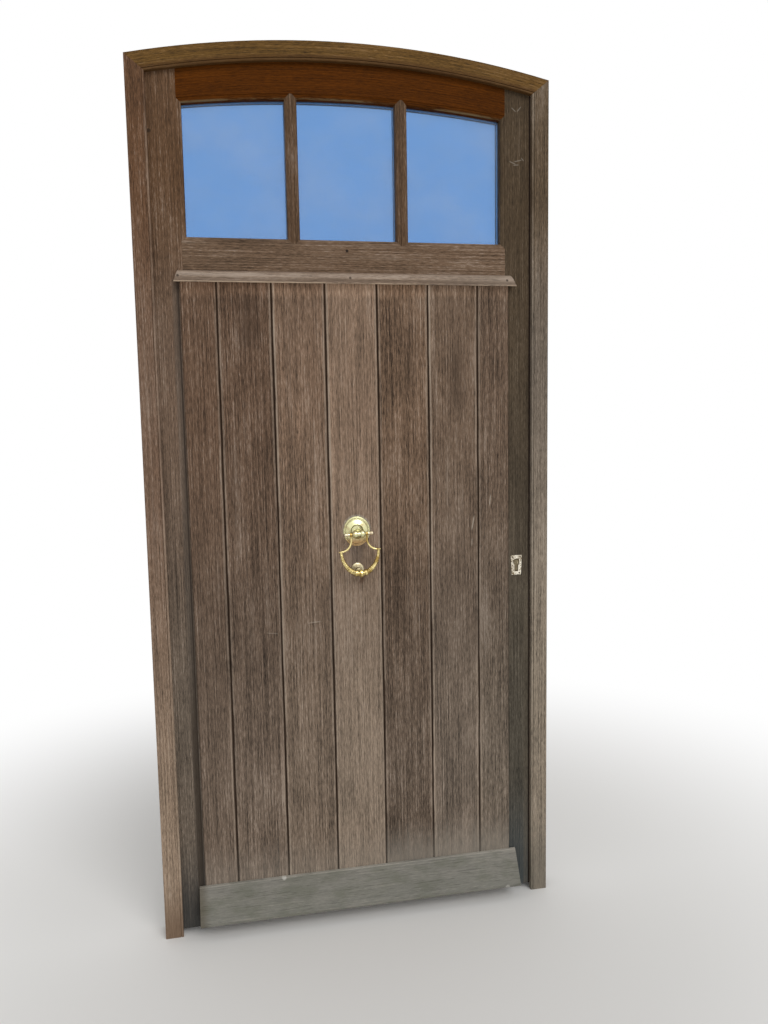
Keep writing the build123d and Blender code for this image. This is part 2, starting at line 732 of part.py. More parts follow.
def hinge_pin(middle_z):
    """A loose pin with a cap at each end."""
    foot = middle_z - HINGE_HEIGHT / 2
    profile = [
        (KNUCKLE_R * 0.6, -PIN_CAP),
        (KNUCKLE_R, -PIN_CAP / 2),
        (KNUCKLE_R, 0),
        (PIN_R, 0),
        (PIN_R, HINGE_HEIGHT),
        (KNUCKLE_R, HINGE_HEIGHT),
        (KNUCKLE_R, HINGE_HEIGHT + PIN_CAP / 2),
        (KNUCKLE_R * 0.6, HINGE_HEIGHT + PIN_CAP),
    ]
    return turned(profile, Pos(HINGE_X, HINGE_Y, foot))


def hinge_screw_holes(side, middle_z):
    """Three screw holes through one plate of a hinge."""
    face = HINGE_X + side * EDGE_GAP / 2
    deep_y = LEAF_IN_Y - HINGE_PLATE_DEPTH * 0.68
    near_y = LEAF_IN_Y - HINGE_PLATE_DEPTH * 0.36
    third = HINGE_HEIGHT * 0.36
    places = [(deep_y, -third), (near_y, 0.0), (deep_y, third)]
    return [screw_hole((face, y, middle_z + dz), (side, 0, 0)) for y, dz in places]


def hinges(nodes):
    """Three hinges, let into the left jamb and the left stile."""
    for number, z in enumerate(HINGE_Z, 1):
        frame_half = hinge_half(-1, z, PIN_R)
        leaf_half = hinge_half(1, z, PIN_R + PIN_PLAY)
        near, far = hinge_screw_holes(-1, z), hinge_screw_holes(1, z)
        nodes["frame_lining_left"] = nodes["frame_lining_left"] - hinge_plate_box(-1, z) - near
        nodes["stile_left"] = nodes["stile_left"] - hinge_plate_box(1, z) - far
        nodes[f"hinge_frame_half_{number}"] = frame_half - near
        nodes[f"hinge_leaf_half_{number}"] = leaf_half - far
        nodes[f"hinge_pin_{number}"] = hinge_pin(z)


# Lock

def euro_profile(y_span, play=0.0):
    """The round-topped, tailed section of a lock cylinder, through a depth."""
    radius = CYLINDER_R + play
    half = CYLINDER_TAIL / 2 + play
    foot = CYLINDER_R - CYLINDER_HEIGHT - play
    barrel = rod((LOCK_X, y_span[0], CYLINDER_Z), (LOCK_X, y_span[1], CYLINDER_Z), radius)
    tail = block((LOCK_X - half, LOCK_X + half), y_span, (CYLINDER_Z + foot, CYLINDER_Z))
    return barrel + tail


def along_y(x, z, y_span, radius):
    return rod((x, y_span[0], z), (x, y_span[1], z), radius)


def bolt_windows(play):
    """The openings that the two bolts pass through, from the case into the pockets."""
    y_span = about(LEAF_MID_Y, BOLT_THICKNESS + 2 * play)
    bolts = ((LATCH_Z, LATCH_HEIGHT, LATCH_THROW), (DEAD_Z, DEAD_HEIGHT, DEAD_THROW))
    windows = []
    for z, height, throw in bolts:
        x_span = (CASE_FRONT_X - OVER, LEAF_HALF + throw + POCKET_EXTRA)
        windows.append(block(x_span, y_span, about(z, height + 2 * play)))
    return windows


def lock_case():
    """A pressed case, open at the front, with holes for cylinder and spindle."""
    x_span, y_span = (CASE_BACK_X, CASE_FRONT_X), (CASE_OUT_Y, CASE_IN_Y)
    shell = block(x_span, y_span, (CASE_FOOT_Z, CASE_TOP_Z))
    room = block(
        (CASE_BACK_X + CASE_WALL, CASE_FRONT_X + OVER),
        (CASE_OUT_Y + CASE_WALL, CASE_IN_Y - CASE_WALL),
        (CASE_FOOT_Z + CASE_WALL, CASE_TOP_Z - CASE_WALL),
    )
    through = (CASE_OUT_Y - OVER, CASE_IN_Y + OVER)
    bores = [euro_profile(through, CYLINDER_PLAY), along_y(LOCK_X, FOLLOWER_Z, through, KNOB_NECK_R)]
    return shell - room - bores


def faceplate():
    """The plate let into the edge of the leaf, that the bolts slide through."""
    y_span = about(LEAF_MID_Y, FACEPLATE_WIDTH)
    z_span = about((CASE_FOOT_Z + CASE_TOP_Z) / 2, FACEPLATE_HEIGHT)
    return block((CASE_FRONT_X, LEAF_HALF), y_span, z_span)


def faceplate_screw_holes():
    """Two screw holes, near the ends of the faceplate."""
    ends = about((CASE_FOOT_Z + CASE_TOP_Z) / 2, FACEPLATE_HEIGHT - 2 * EDGE_SCREW_INSET)
    return [screw_hole((LEAF_HALF, LEAF_MID_Y, z), (-1, 0, 0)) for z in ends]


def bolt_bar(z, height, length):
    y_span = about(LEAF_MID_Y, BOLT_THICKNESS)
    return block((LEAF_HALF - length, LEAF_HALF), y_span, about(z, height))


def latch_bolt():
    """The spring latch, bevelled on the side that meets the frame as the door shuts."""
    bar = bolt_bar(LATCH_Z, LATCH_HEIGHT, LATCH_LENGTH)
    near_y = LEAF_MID_Y - BOLT_THICKNESS / 2
    wedge = [(LEAF_HALF - LATCH_BEVEL, near_y), (LEAF_HALF, near_y), (LEAF_HALF, near_y + LATCH_BEVEL)]
    foot = LATCH_Z - LATCH_HEIGHT
    face = make_face(Polyline(*[(x, y, foot) for x, y in wedge], close=True))
    return bar - extrude(face, amount=2 * LATCH_HEIGHT, dir=(0, 0, 1))


def strike_ends(inset):
    """Heights near the strike plate's two ends, an inset in from each."""
    foot = DEAD_Z - DEAD_HEIGHT - STRIKE_ENDS
    top = LATCH_Z + LATCH_HEIGHT + STRIKE_ENDS
    return foot + inset, top - inset


def strike_plate():
    """The plate in the right jamb, with a window for each bolt."""
    x_span = (REBATE_HALF, REBATE_HALF + STRIKE_THICKNESS)
    return block(x_span, about(LEAF_MID_Y, FACEPLATE_WIDTH), strike_ends(0.0))


def strike_screw_holes():
    ends = strike_ends(STRIKE_SCREW_GAP)
    return [screw_hole((REBATE_HALF, LEAF_MID_Y, z), (1, 0, 0)) for z in ends]


def cylinder_spans():
    """Depths of the cylinder's outer half, its cam slot and its inner half."""
    half = CAM_WIDTH / 2 + CAM_PLAY
    outer = (LEAF_OUT_Y + CYLINDER_SET_BACK, LEAF_MID_Y - half)
    slot = (LEAF_MID_Y - half, LEAF_MID_Y + half)
    inner = (LEAF_MID_Y + half, PLATE_IN_Y + CYLINDER_STAND_OUT)
    return outer, slot, inner


def cylinder_body():
    """The cylinder's housing: two barrels joined by a bridge under the cam."""
    outer, slot, inner = cylinder_spans()
    body = euro_profile((outer[0], inner[1]))
    bridge_z = CYLINDER_Z - CAM_REACH - CAM_PLAY
    gap = block(about(LOCK_X, 4 * CYLINDER_R), slot, (bridge_z, CYLINDER_Z + 2 * CYLINDER_R))
    through = (outer[0] - OVER, inner[1] + OVER)
    return body - gap - along_y(LOCK_X, CYLINDER_Z, through, PLUG_R + PLUG_PLAY)


def cylinder_plug():
    """The outer plug, with its keyway."""
    plug = along_y(LOCK_X, CYLINDER_Z, (LEAF_OUT_Y, LEAF_MID_Y - CAM_WIDTH / 2), PLUG_R)
    low, high = KEYWAY_RISE
    y_span = (LEAF_OUT_Y - OVER, LEAF_OUT_Y + KEYWAY_DEPTH)
    return plug - block(about(LOCK_X, KEYWAY_WIDTH), y_span, (CYLINDER_Z + low, CYLINDER_Z + high))


def cylinder_cam():
    """The cam between the two halves of the cylinder; its nose drives the dead bolt."""
    span = about(LEAF_MID_Y, CAM_WIDTH)
    hub = along_y(LOCK_X, CYLINDER_Z, span, CYLINDER_R - CAM_PLAY)
    nose = block(about(LOCK_X, CAM_NOSE), span, (CYLINDER_Z - CAM_REACH, CYLINDER_Z))
    sweep = along_y(LOCK_X, CYLINDER_Z, span, CAM_REACH)
    return hub + (nose & sweep)


def thumbturn():
    """The inner plug and its round knob, with a bar across it for the fingers."""
    back = cylinder_spans()[2][1]
    neck_end, front = back + THUMB_SHAPE[1][1], back + THUMB_SHAPE[-1][1]
    plug = along_y(LOCK_X, CYLINDER_Z, (LEAF_MID_Y + CAM_WIDTH / 2, neck_end), PLUG_R)
    place = Location(Plane(origin=(LOCK_X, back, CYLINDER_Z), z_dir=(0, 1, 0)))
    y_span = (front - GRIP_ROOT, front + GRIP_HEIGHT)
    bar = block(about(LOCK_X, GRIP_WIDTH), y_span, about(CYLINDER_Z, GRIP_LENGTH))
    return plug + turned(THUMB_SHAPE, place) + bar


def lock_follower():
    """The hub in the case that the spindle turns."""
    inside = (CASE_OUT_Y + CASE_WALL + FOLLOWER_PLAY, CASE_IN_Y - CASE_WALL - FOLLOWER_PLAY)
    neck = along_y(LOCK_X, FOLLOWER_Z, (CASE_OUT_Y, CASE_IN_Y), KNOB_NECK_R - BOLT_PLAY / 2)
    hub = along_y(LOCK_X, FOLLOWER_Z, inside, KNOB_NECK_R + FOLLOWER_FLANGE)
    arm_width, arm_reach = FOLLOWER_ARM
    arm = block(about(LOCK_X, arm_width), inside, (FOLLOWER_Z - arm_reach, FOLLOWER_Z))
    return neck + hub + arm - spindle()


def spindle():
    """The square bar from the follower out to the knob."""
    y_span = (CASE_OUT_Y + CASE_WALL, PLATE_IN_Y + SPINDLE_DEPTH_IN_KNOB)
    return block(about(LOCK_X, SPINDLE_SIDE), y_span, about(FOLLOWER_Z, SPINDLE_SIDE))


def inside_knob():
    """A turned knob on the inner side."""
    neck = KNOB_NECK_R - PLUG_PLAY
    profile = [(neck, -INNER_PLATE_THICKNESS), (neck, KNOB_SHAPE[0][1]), *KNOB_SHAPE]
    place = Location(Plane(origin=(LOCK_X, PLATE_IN_Y, FOLLOWER_Z), z_dir=(0, 1, 0)))
    return turned(profile, place) - spindle()


def inside_plate():
    """The long plate behind the knob and the turn."""
    ends = about((CYLINDER_Z + FOLLOWER_Z) / 2, INNER_PLATE_HEIGHT - INNER_PLATE_WIDTH)
    y_span = (LEAF_IN_Y, PLATE_IN_Y)
    body = block(about(LOCK_X, INNER_PLATE_WIDTH), y_span, ends)
    for z in ends:
        body = body + along_y(LOCK_X, z, y_span, INNER_PLATE_WIDTH / 2)
    through = (y_span[0] - OVER, y_span[1] + OVER)
    follower_way = along_y(LOCK_X, FOLLOWER_Z, through, KNOB_NECK_R)
    return body - euro_profile(through, CYLINDER_PLAY) - follower_way


def inside_plate_screw_holes():
    middle_z = (CYLINDER_Z + FOLLOWER_Z) / 2
    ends = about(middle_z, INNER_PLATE_HEIGHT - 2 * EDGE_SCREW_INSET)
    return [screw_hole((LOCK_X, PLATE_IN_Y, z), (0, -1, 0)) for z in ends]


def outer_plate_ends():
    """The plate's foot and top, level about the middle of the cylinder's section."""
    return about(CYLINDER_Z + CYLINDER_R - CYLINDER_HEIGHT / 2, OUTER_PLATE_HEIGHT)


def outer_plate():
    """The small worn plate round the cylinder, a little narrower at its foot."""
    low, high = outer_plate_ends()
    wide, narrow = OUTER_PLATE_TOP / 2, OUTER_PLATE_FOOT / 2
    corners = [
        (LOCK_X - wide, high),
        (LOCK_X + wide, high),
        (LOCK_X + narrow, low),
        (LOCK_X - narrow, low),
    ]
    y_span = (LEAF_OUT_Y - OUTER_PLATE_THICKNESS, LEAF_OUT_Y)
    plate = upright(outline(corners), y_span)
    plate = fillet(plate.edges().filter_by(Axis.Y), OUTER_PLATE_ROUND)
    return plate - euro_profile((y_span[0] - OVER, y_span[1] + OVER), CYLINDER_PLAY)


def outer_plate_screw_holes():
    """Four small screw holes at the plate's corners."""
    low, high = outer_plate_ends()
    y = LEAF_OUT_Y - OUTER_PLATE_THICKNESS
    inset = OUTER_PLATE_SCREW_INSET
    places = []
    for way in (-1, 1):
        places.append((LOCK_X + way * (OUTER_PLATE_FOOT / 2 - inset), y, low + inset))
        places.append((LOCK_X + way * (OUTER_PLATE_TOP / 2 - inset), y, high - inset))
    return [screw_hole(place, (0, 1, 0), SMALL_SCREW) for place in places]


def lock(nodes):
    """The mortise lock with its plates; the leaf and the jamb are cut for it."""
    windows = bolt_windows(STRIKE_MARGIN)
    faceplate_holes = faceplate_screw_holes()
    jamb_holes = strike_screw_holes()
    plate_holes = inside_plate_screw_holes()
    small_holes = outer_plate_screw_holes()
    case_x, case_y = (CASE_BACK_X, CASE_FRONT_X), (CASE_OUT_Y, CASE_IN_Y)
    case_room = block(case_x, case_y, (CASE_FOOT_Z, CASE_TOP_Z))
    outward = (LEAF_OUT_Y - OVER, CASE_OUT_Y + OVER)
    inward = (CASE_IN_Y - OVER, LEAF_IN_Y + OVER)
    cylinder_way = [euro_profile(span, CYLINDER_PLAY) for span in (outward, inward)]
    spindle_way = along_y(LOCK_X, FOLLOWER_Z, inward, KNOB_NECK_R + BOLT_PLAY)
    ways = [case_room, faceplate(), spindle_way, *cylinder_way]
    nodes["stile_right"] = nodes["stile_right"] - ways - faceplate_holes - plate_holes - small_holes
    lining = nodes["frame_lining_right"]
    nodes["frame_lining_right"] = lining - strike_plate() - windows - jamb_holes
    nodes["strike_plate"] = strike_plate() - windows - jamb_holes
    nodes["lock_case"] = lock_case()
    nodes["lock_faceplate"] = faceplate() - bolt_windows(BOLT_PLAY) - faceplate_holes
    nodes["latch_bolt"] = latch_bolt()
    nodes["dead_bolt"] = bolt_bar(DEAD_Z, DEAD_HEIGHT, DEAD_LENGTH)
    nodes["cylinder_body"] = cylinder_body()
    nodes["cylinder_plug"] = cylinder_plug()
    nodes["cylinder_cam"] = cylinder_cam()
    nodes["thumbturn"] = thumbturn()
    nodes["lock_follower"] = lock_follower()
    nodes["lock_spindle"] = spindle()
    nodes["inside_knob"] = inside_knob()
    nodes["inside_plate"] = inside_plate() - plate_holes
    nodes["outer_plate"] = outer_plate() - small_holes


# Knocker, drawn upright about the middle of its rose and then tilted

def tilt(solid):
    """Turn a piece of the knocker as it hangs, a little off the plumb."""
    return solid.rotate(Axis((KNOCKER_X, 0, KNOCKER_Z), (0, 1, 0)), -KNOCKER_TILT)


def outward_place(x, z):
    """A place on the boards' face whose Z axis points out to the street."""
    return Location(Plane(origin=(x, BOARD_OUT_Y, z), x_dir=(1, 0, 0), z_dir=(0, -1, 0)))


def stud(x, z):
    """The stud that runs through the middle board to a nut."""
    return along_y(x, z, (BOARD_OUT_Y - STUD_ROOT, BOARD_IN_Y + STUD_PAST_BOARD), STUD_R)


def knocker_rose():
    """The oval stepped rose, with the neck and knuckle that hold the pin."""
    dish = turned([(ROSE_HALF_WIDTH * share, h) for share, h in ROSE_SHAPE], Location())
    dish = scale(dish, by=(1, ROSE_HALF_HEIGHT / ROSE_HALF_WIDTH, 1))
    dish = outward_place(KNOCKER_X, KNOCKER_Z) * dish
    neck_foot = (KNOCKER_X, BOARD_OUT_Y - STUD_ROOT, KNOCKER_Z)
    neck = rod(neck_foot, (KNOCKER_X, KNOCKER_PIN_Y, KNOCKER_PIN_Z), ROSE_NECK_R)
    stem = stud(KNOCKER_X, KNOCKER_Z)
    half = EYE_X - EYE_LENGTH / 2 - KNUCKLE_SIDE_GAP
    right = [(radius, half * share) for radius, share in KNUCKLE_SHAPE]
    left = [(radius, -x) for radius, x in reversed(right)]
    place = Location(Plane(origin=(KNOCKER_X, KNOCKER_PIN_Y, KNOCKER_PIN_Z), z_dir=(1, 0, 0)))
    knuckle = turned(left + right, place)
    return tilt(dish + neck + stem + knuckle) - knocker_pin()


def knocker_pin():
    """The pin across the knuckle, with a ball at each end."""
    y, z = KNOCKER_PIN_Y, KNOCKER_PIN_Z
    reach = KNOCKER_BALL_X
    pin = rod((KNOCKER_X - reach, y, z), (KNOCKER_X + reach, y, z), KNOCKER_PIN_R)
    for way in (-1, 1):
        centre = Vector(KNOCKER_X + way * reach, y, z)
        collar = (KNOCKER_X + way * (EYE_X + EYE_LENGTH / 2 + PIN_COLLAR_GAP), y, z)
        pin = pin + ball(centre, KNOCKER_BALL_R) + rod(collar, centre, PIN_COLLAR_R)
    return tilt(pin)


def ball(centre, radius):
    """A turned ball, its axis across the door."""
    turns = [math.pi * (step / BALL_STEPS - 0.5) for step in range(1, BALL_STEPS)]
    profile = [(radius * math.cos(turn), radius * math.sin(turn)) for turn in turns]
    return turned(profile, Location(Plane(origin=centre, z_dir=(1, 0, 0))))


def bow_point(turn):
    """A point on the bow's centre line, and its radius there; turn runs from 0 to 180."""
    angle = math.radians(turn)
    across_x = (EYE_X + ARM_BEND) * math.cos(angle)
    down = ARM_DROP + ARM_BEND + BOW_DROP * math.sin(angle)
    thin, thick = BOW_R
    radius = thin + (thick - thin) * math.sin(angle) ** 1.5
    return Vector(KNOCKER_X + across_x, KNOCKER_PIN_Y, KNOCKER_PIN_Z - down), radius


def bow_heading(turn):
    near, far = bow_point(turn - 0.5)[0], bow_point(turn + 0.5)[0]
    return (far - near).normalized()


def bow_collar(turn, swell, half):
    """A turned swelling on the bow."""
    centre, radius = bow_point(turn)
    core = radius * 0.5
    profile = [(core, -half), (radius + swell, -half * 0.4), (radius + swell, half * 0.4), (core, half)]
    return turned(profile, Location(Plane(origin=centre, z_dir=bow_heading(turn))))


def knocker_ring():
    """The swinging ring: two eyes, two arms that sweep out to points, and a beaded bow."""
    y, z = KNOCKER_PIN_Y, KNOCKER_PIN_Z
    sections = []
    for turn in range(0, 181, BOW_STEP):
        centre, radius = bow_point(turn)
        sections.append(Plane(origin=centre, z_dir=bow_heading(turn)) * Circle(radius))
    ring = loft(sections)
    for way in (-1, 1):
        x = KNOCKER_X + way * EYE_X
        tip = x + way * ARM_BEND
        bend_z = z - ARM_DROP
        pivot = Axis((tip, y, bend_z), (0, -way, 0))
        bend = Plane(origin=(x, y, bend_z), z_dir=(0, 0, -1)) * Circle(ARM_R)
        ring = ring + revolve(bend, pivot, 90)
        ring = ring + rod((x, y, z), (x, y, bend_z), ARM_R)
        ring = ring + rod((x - EYE_LENGTH / 2, y, z), (x + EYE_LENGTH / 2, y, z), EYE_R)
        shoulder = Plane(origin=(tip - way * ARM_R, y, bend_z - ARM_BEND), z_dir=(way, 0, 0))
        ring = ring + Solid.make_cone(*POINT_R, POINT_LENGTH, shoulder)
    for turn, swell, half in ORNAMENT:
        ring = ring + bow_collar(turn, swell, half)
    bore = rod((KNOCKER_X - 2 * EYE_X, y, z), (KNOCKER_X + 2 * EYE_X, y, z), KNOCKER_PIN_R + EYE_PLAY)
    return tilt(ring - bore)


def strike_stud():
    """The stud that the bow knocks on."""
    middle_swell = max(swell for turn, swell, half in ORNAMENT)
    top = KNOCKER_PIN_REACH - BOW_R[1] - middle_swell - STRIKE_SEAT_GAP
    profile = [(STRIKE_R * share, height) for share, height in STRIKE_FOOT_SHAPE]
    profile += [(STRIKE_R * share, top - below) for share, below in STRIKE_HEAD_SHAPE]
    body = turned(profile, outward_place(STRIKE_X, STRIKE_Z))
    return body + stud(STRIKE_X, STRIKE_Z)


def knocker_nuts():
    """Domed nuts on the inner side that hold the rose and the stud."""
    nuts = []
    for x, z in ((KNOCKER_X, KNOCKER_Z), (STRIKE_X, STRIKE_Z)):
        place = Location(Plane(origin=(x, BOARD_IN_Y, z), z_dir=(0, 1, 0)))
        nuts.append(turned(NUT_SHAPE, place) - stud(x, z))
    return Compound([nut.solid() for nut in nuts])


def knocker(nodes):
    """The knocker and its stud, bolted through the middle board."""
    middle = f"board_{(BOARD_COUNT + 1) // 2}"
    for x, z in ((KNOCKER_X, KNOCKER_Z), (STRIKE_X, STRIKE_Z)):
        hole = along_y(x, z, (BOARD_OUT_Y - OVER, BOARD_IN_Y + OVER), STUD_R + STUD_PLAY)
        nodes[middle] = nodes[middle] - hole
    nodes["knocker_rose"] = knocker_rose()
    nodes["knocker_pin"] = knocker_pin()
    nodes["knocker_ring"] = knocker_ring()
    nodes["knocker_strike"] = strike_stud()
    nodes["knocker_nuts"] = knocker_nuts()


def whole_door():
    """Every piece of the door, by name."""
    nodes = {}
    frame(nodes)
    nodes["stile_right"] = stile()
    nodes["stile_left"] = mirror(nodes["stile_right"], Plane.YZ)
    nodes["top_rail"] = top_rail()
    nodes["middle_rail"] = middle_rail()
    nodes["ledge_rail"] = plain_rail(LEDGE_Z, "ledge")
    nodes["bottom_rail"] = plain_rail((FOOT_GAP, FOOT_GAP + BOTTOM_RAIL_HEIGHT), "bottom")
    glazing(nodes)
    for number in range(1, BOARD_COUNT + 1):
        nodes[f"board_{number}"] = board(number)
    nodes["drip_moulding"] = drip_moulding()
    nodes["weatherboard"] = weatherboard()
    hinges(nodes)
    lock(nodes)
    knocker(nodes)
    return nodes


os.makedirs("parts", exist_ok=True)
for name, piece in whole_door().items():
    export_step(piece, f"parts/{name}.step")
    print(name, round(piece.volume))
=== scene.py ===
# %% [markdown]
# # An arched front door and its frame
#
# The packed CAD model gives every solid of the door at its real place and size.
# This notebook dresses it: every timber, pane and fitting gets a finish made of
# nodes, the screws and the fine carving are added, and a camera, a floor and soft
# light show the whole. Lengths are in metres, Z is up, and the street is on the
# side of negative Y.

# %% Load the packed door
import json
import math

import bmesh
import bpy
from mathutils import Matrix, Vector

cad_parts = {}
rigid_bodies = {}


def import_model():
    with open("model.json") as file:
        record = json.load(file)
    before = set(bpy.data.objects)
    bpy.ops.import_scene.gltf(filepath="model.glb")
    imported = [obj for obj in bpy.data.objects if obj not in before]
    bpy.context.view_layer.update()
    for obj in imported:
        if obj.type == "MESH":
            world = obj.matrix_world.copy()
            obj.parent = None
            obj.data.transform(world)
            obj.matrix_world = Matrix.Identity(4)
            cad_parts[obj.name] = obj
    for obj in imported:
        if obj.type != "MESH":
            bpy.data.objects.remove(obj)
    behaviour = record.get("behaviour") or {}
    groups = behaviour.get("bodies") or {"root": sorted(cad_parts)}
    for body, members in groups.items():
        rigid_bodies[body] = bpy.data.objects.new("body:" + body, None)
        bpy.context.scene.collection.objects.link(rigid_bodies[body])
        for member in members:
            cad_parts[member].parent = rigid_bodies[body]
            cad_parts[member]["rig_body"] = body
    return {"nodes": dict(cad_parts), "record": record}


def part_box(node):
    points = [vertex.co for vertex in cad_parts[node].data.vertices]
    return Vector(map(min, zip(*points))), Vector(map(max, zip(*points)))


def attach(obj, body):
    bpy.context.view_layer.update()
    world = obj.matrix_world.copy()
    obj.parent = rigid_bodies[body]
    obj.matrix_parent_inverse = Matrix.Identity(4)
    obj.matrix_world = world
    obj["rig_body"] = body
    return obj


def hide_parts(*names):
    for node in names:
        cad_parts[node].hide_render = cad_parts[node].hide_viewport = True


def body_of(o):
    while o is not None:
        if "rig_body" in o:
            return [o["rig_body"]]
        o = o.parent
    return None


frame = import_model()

scene = bpy.context.scene
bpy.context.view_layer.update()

# %% [markdown]
# ## Sums with node sockets
#
# A procedural finish is mostly arithmetic: a mask times a noise, one minus a
# height. Laying a Math node for each sum by hand hides the idea. So a socket is
# wrapped in a small class that knows Python's operators, and every sum adds its
# own node.

# %% A wire that does sums
class Wire:
    """The output of a node, ready for Python's operators."""

    def __init__(self, net, socket):
        self.net = net
        self.socket = socket

    def maths(self, operation, *others):
        """Add a Math node that works on this wire and the other values."""
        values = dict(enumerate((self, *others)))
        return self.net.node("ShaderNodeMath", {"operation": operation}, values)

    def __add__(self, other):
        return self.maths("ADD", other)

    def __sub__(self, other):
        return self.maths("SUBTRACT", other)

    def __rsub__(self, other):
        return self.net.node("ShaderNodeMath", {"operation": "SUBTRACT"}, {0: other, 1: self})

    def __mul__(self, other):
        return self.maths("MULTIPLY", other)

    def __truediv__(self, other):
        return self.maths("DIVIDE", other)

    def __abs__(self):
        return self.maths("ABSOLUTE")

    __radd__ = __add__
    __rmul__ = __mul__

    def fade(self, start, end):
        """A soft step from 0 at start to 1 at end."""
        sockets = {"Value": self, "From Min": start, "From Max": end}
        return self.net.node("ShaderNodeMapRange", {"interpolation_type": "SMOOTHSTEP"}, sockets)


print("operators on a wire:", [name for name in vars(Wire) if name.startswith("__")])

# %% [markdown]
# ## One way to add a node
#
# Materials and the world are both trees of nodes, so both get the same two
# methods. Settings are given to a node before its sockets, because a setting such
# as a data type decides which sockets there are.

# %% A net of nodes
class Net:
    """A tree of nodes that is still growing."""

    def __init__(self, tree):
        self.tree = tree

    def node(self, kind, settings=None, sockets=None, out=0):
        """Add a node: first its settings, then the values or links of its sockets."""
        made = self.tree.nodes.new(kind)
        for setting, value in (settings or {}).items():
            setattr(made, setting, value)
        for socket, value in (sockets or {}).items():
            self.put(made.inputs[socket], value)
        return Wire(self, made.outputs[out])

    def put(self, socket, value):
        """Link a wire to a socket, or write a plain value on it."""
        if isinstance(value, Wire):
            self.tree.links.new(value.socket, socket)
        elif socket.type == "RGBA":
            socket.default_value = (*value, 1.0)
        else:
            socket.default_value = value


print("methods of a net:", [name for name in vars(Net) if not name.startswith("__")])

# %% [markdown]
# ## A finish
#
# A finish is a material in the making. It starts with the shader's constant values
# and the three Object coordinates, which stay with the piece wherever it moves.
# Relief that is too fine to model, such as grain, goes through a Bump node.

# %% A finish
class Finish(Net):
    """A material in the making, with its shader and its coordinates."""

    def __init__(self, name, constants):
        self.material = bpy.data.materials.new(name)
        self.material.use_nodes = True
        super().__init__(self.material.node_tree)
        self.shader = self.tree.nodes["Principled BSDF"]
        for socket, value in constants.items():
            self.put(self.shader.inputs[socket], value)
        self.place = self.node("ShaderNodeTexCoord", out="Object")
        self.x, self.y, self.z = [
            self.node("ShaderNodeSeparateXYZ", {}, {"Vector": self.place}, axis) for axis in "XYZ"
        ]

    def blend(self, mask, low, high):
        """One colour where the mask is 0 and another where it is 1."""
        sockets = {0: mask, 6: low, 7: high}
        return self.node("ShaderNodeMix", {"data_type": "RGBA"}, sockets, out=2)

    def scaled(self, colour, factor):
        """A colour times a number."""
        sockets = {0: colour, "Scale": factor}
        return self.node("ShaderNodeVectorMath", {"operation": "SCALE"}, sockets)

    def noise(self, vector, spread, detail=2.0, roughness=0.5):
        """Smooth noise from 0 to 1, with so many lumps in a metre on each axis."""
        stretched = self.node("ShaderNodeVectorMath", {"operation": "MULTIPLY"},
                              {0: vector, 1: spread})
        sockets = {"Vector": stretched, "Scale": 1.0, "Detail": detail, "Roughness": roughness}
        return self.node("ShaderNodeTexNoise", {}, sockets)

    def shade(self, colour, roughness, height, depth):
        """Join colour, roughness and relief to the shader."""
        self.put(self.shader.inputs["Base Color"], colour)
        self.put(self.shader.inputs["Roughness"], roughness)
        sockets = {"Strength": 1.0, "Distance": depth, "Height": height}
        self.put(self.shader.inputs["Normal"], self.node("ShaderNodeBump", {}, sockets))

    def surface(self, shader):
        """Show another shader than the one that every material starts with."""
        self.put(self.tree.nodes["Material Output"].inputs["Surface"], shader)

    def coat(self, *names):
        """Give the finish to CAD nodes by name."""
        for name in names:
            mesh = frame["nodes"][name].data
            mesh.materials.clear()
            mesh.materials.append(self.material)
        print(self.material.name, "on", ", ".join(names))


print("a finish is ready to use")

# %% [markdown]
# ## The arch
#
# The head of the frame and the top rail follow one circle. Its radius comes from
# the width and the rise of the opening, which the boxes of the CAD nodes give, so
# the finish stays true to the solids.

# %% The circle that curved pieces follow
jamb_low, jamb_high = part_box("frame_facing_right")
head_low, head_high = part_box("frame_facing_arch")
SIGHT_HALF = jamb_low.x
ARCH_CROWN_Z = head_high.z - (jamb_high.x - jamb_low.x)
ARCH_RISE = ARCH_CROWN_Z - head_low.z
ARCH_RADIUS = (SIGHT_HALF**2 + ARCH_RISE**2) / (2 * ARCH_RISE)
ARCH_CENTRE_Z = ARCH_CROWN_Z - ARCH_RADIUS
print("arch radius", round(ARCH_RADIUS, 3), "centre height", round(ARCH_CENTRE_Z, 3))

# %% [markdown]
# ## Timber
#
# The door is stained hardwood that sun and rain have worked on. Close to, it shows
# short fibres, long veins and wider streaks along the grain, open pores, the lines
# of the growth rings, and patches that the weather has greyed. Each is a noise that
# is stretched along the grain. The rings are a wave across the grain that a slow
# noise bends, which gives the long arches of a sawn board. The lightest strands are
# laid over as a pale grey, since they are bleached rather than bright brown. The
# grain of the arched head and top rail follows the curve, so there the coordinates
# are turned into a distance from the arch's centre and a length along it.

# %% Timber with its grain
STREET_FACE = (-0.012, -0.008)  # Y between which marks on the street's side end
ARCH_SHADE_SPAN = (1.4, 1.85)        # heights over which the painted shade of the arch comes in
RING_WIDTH, RING_BEND = 0.0066, 0.055
GRAIN_DEPTH = 0.0008
GREYED, BLEACHED = Vector((0.34, 0.3, 0.25)), (0.4, 0.34, 0.285)


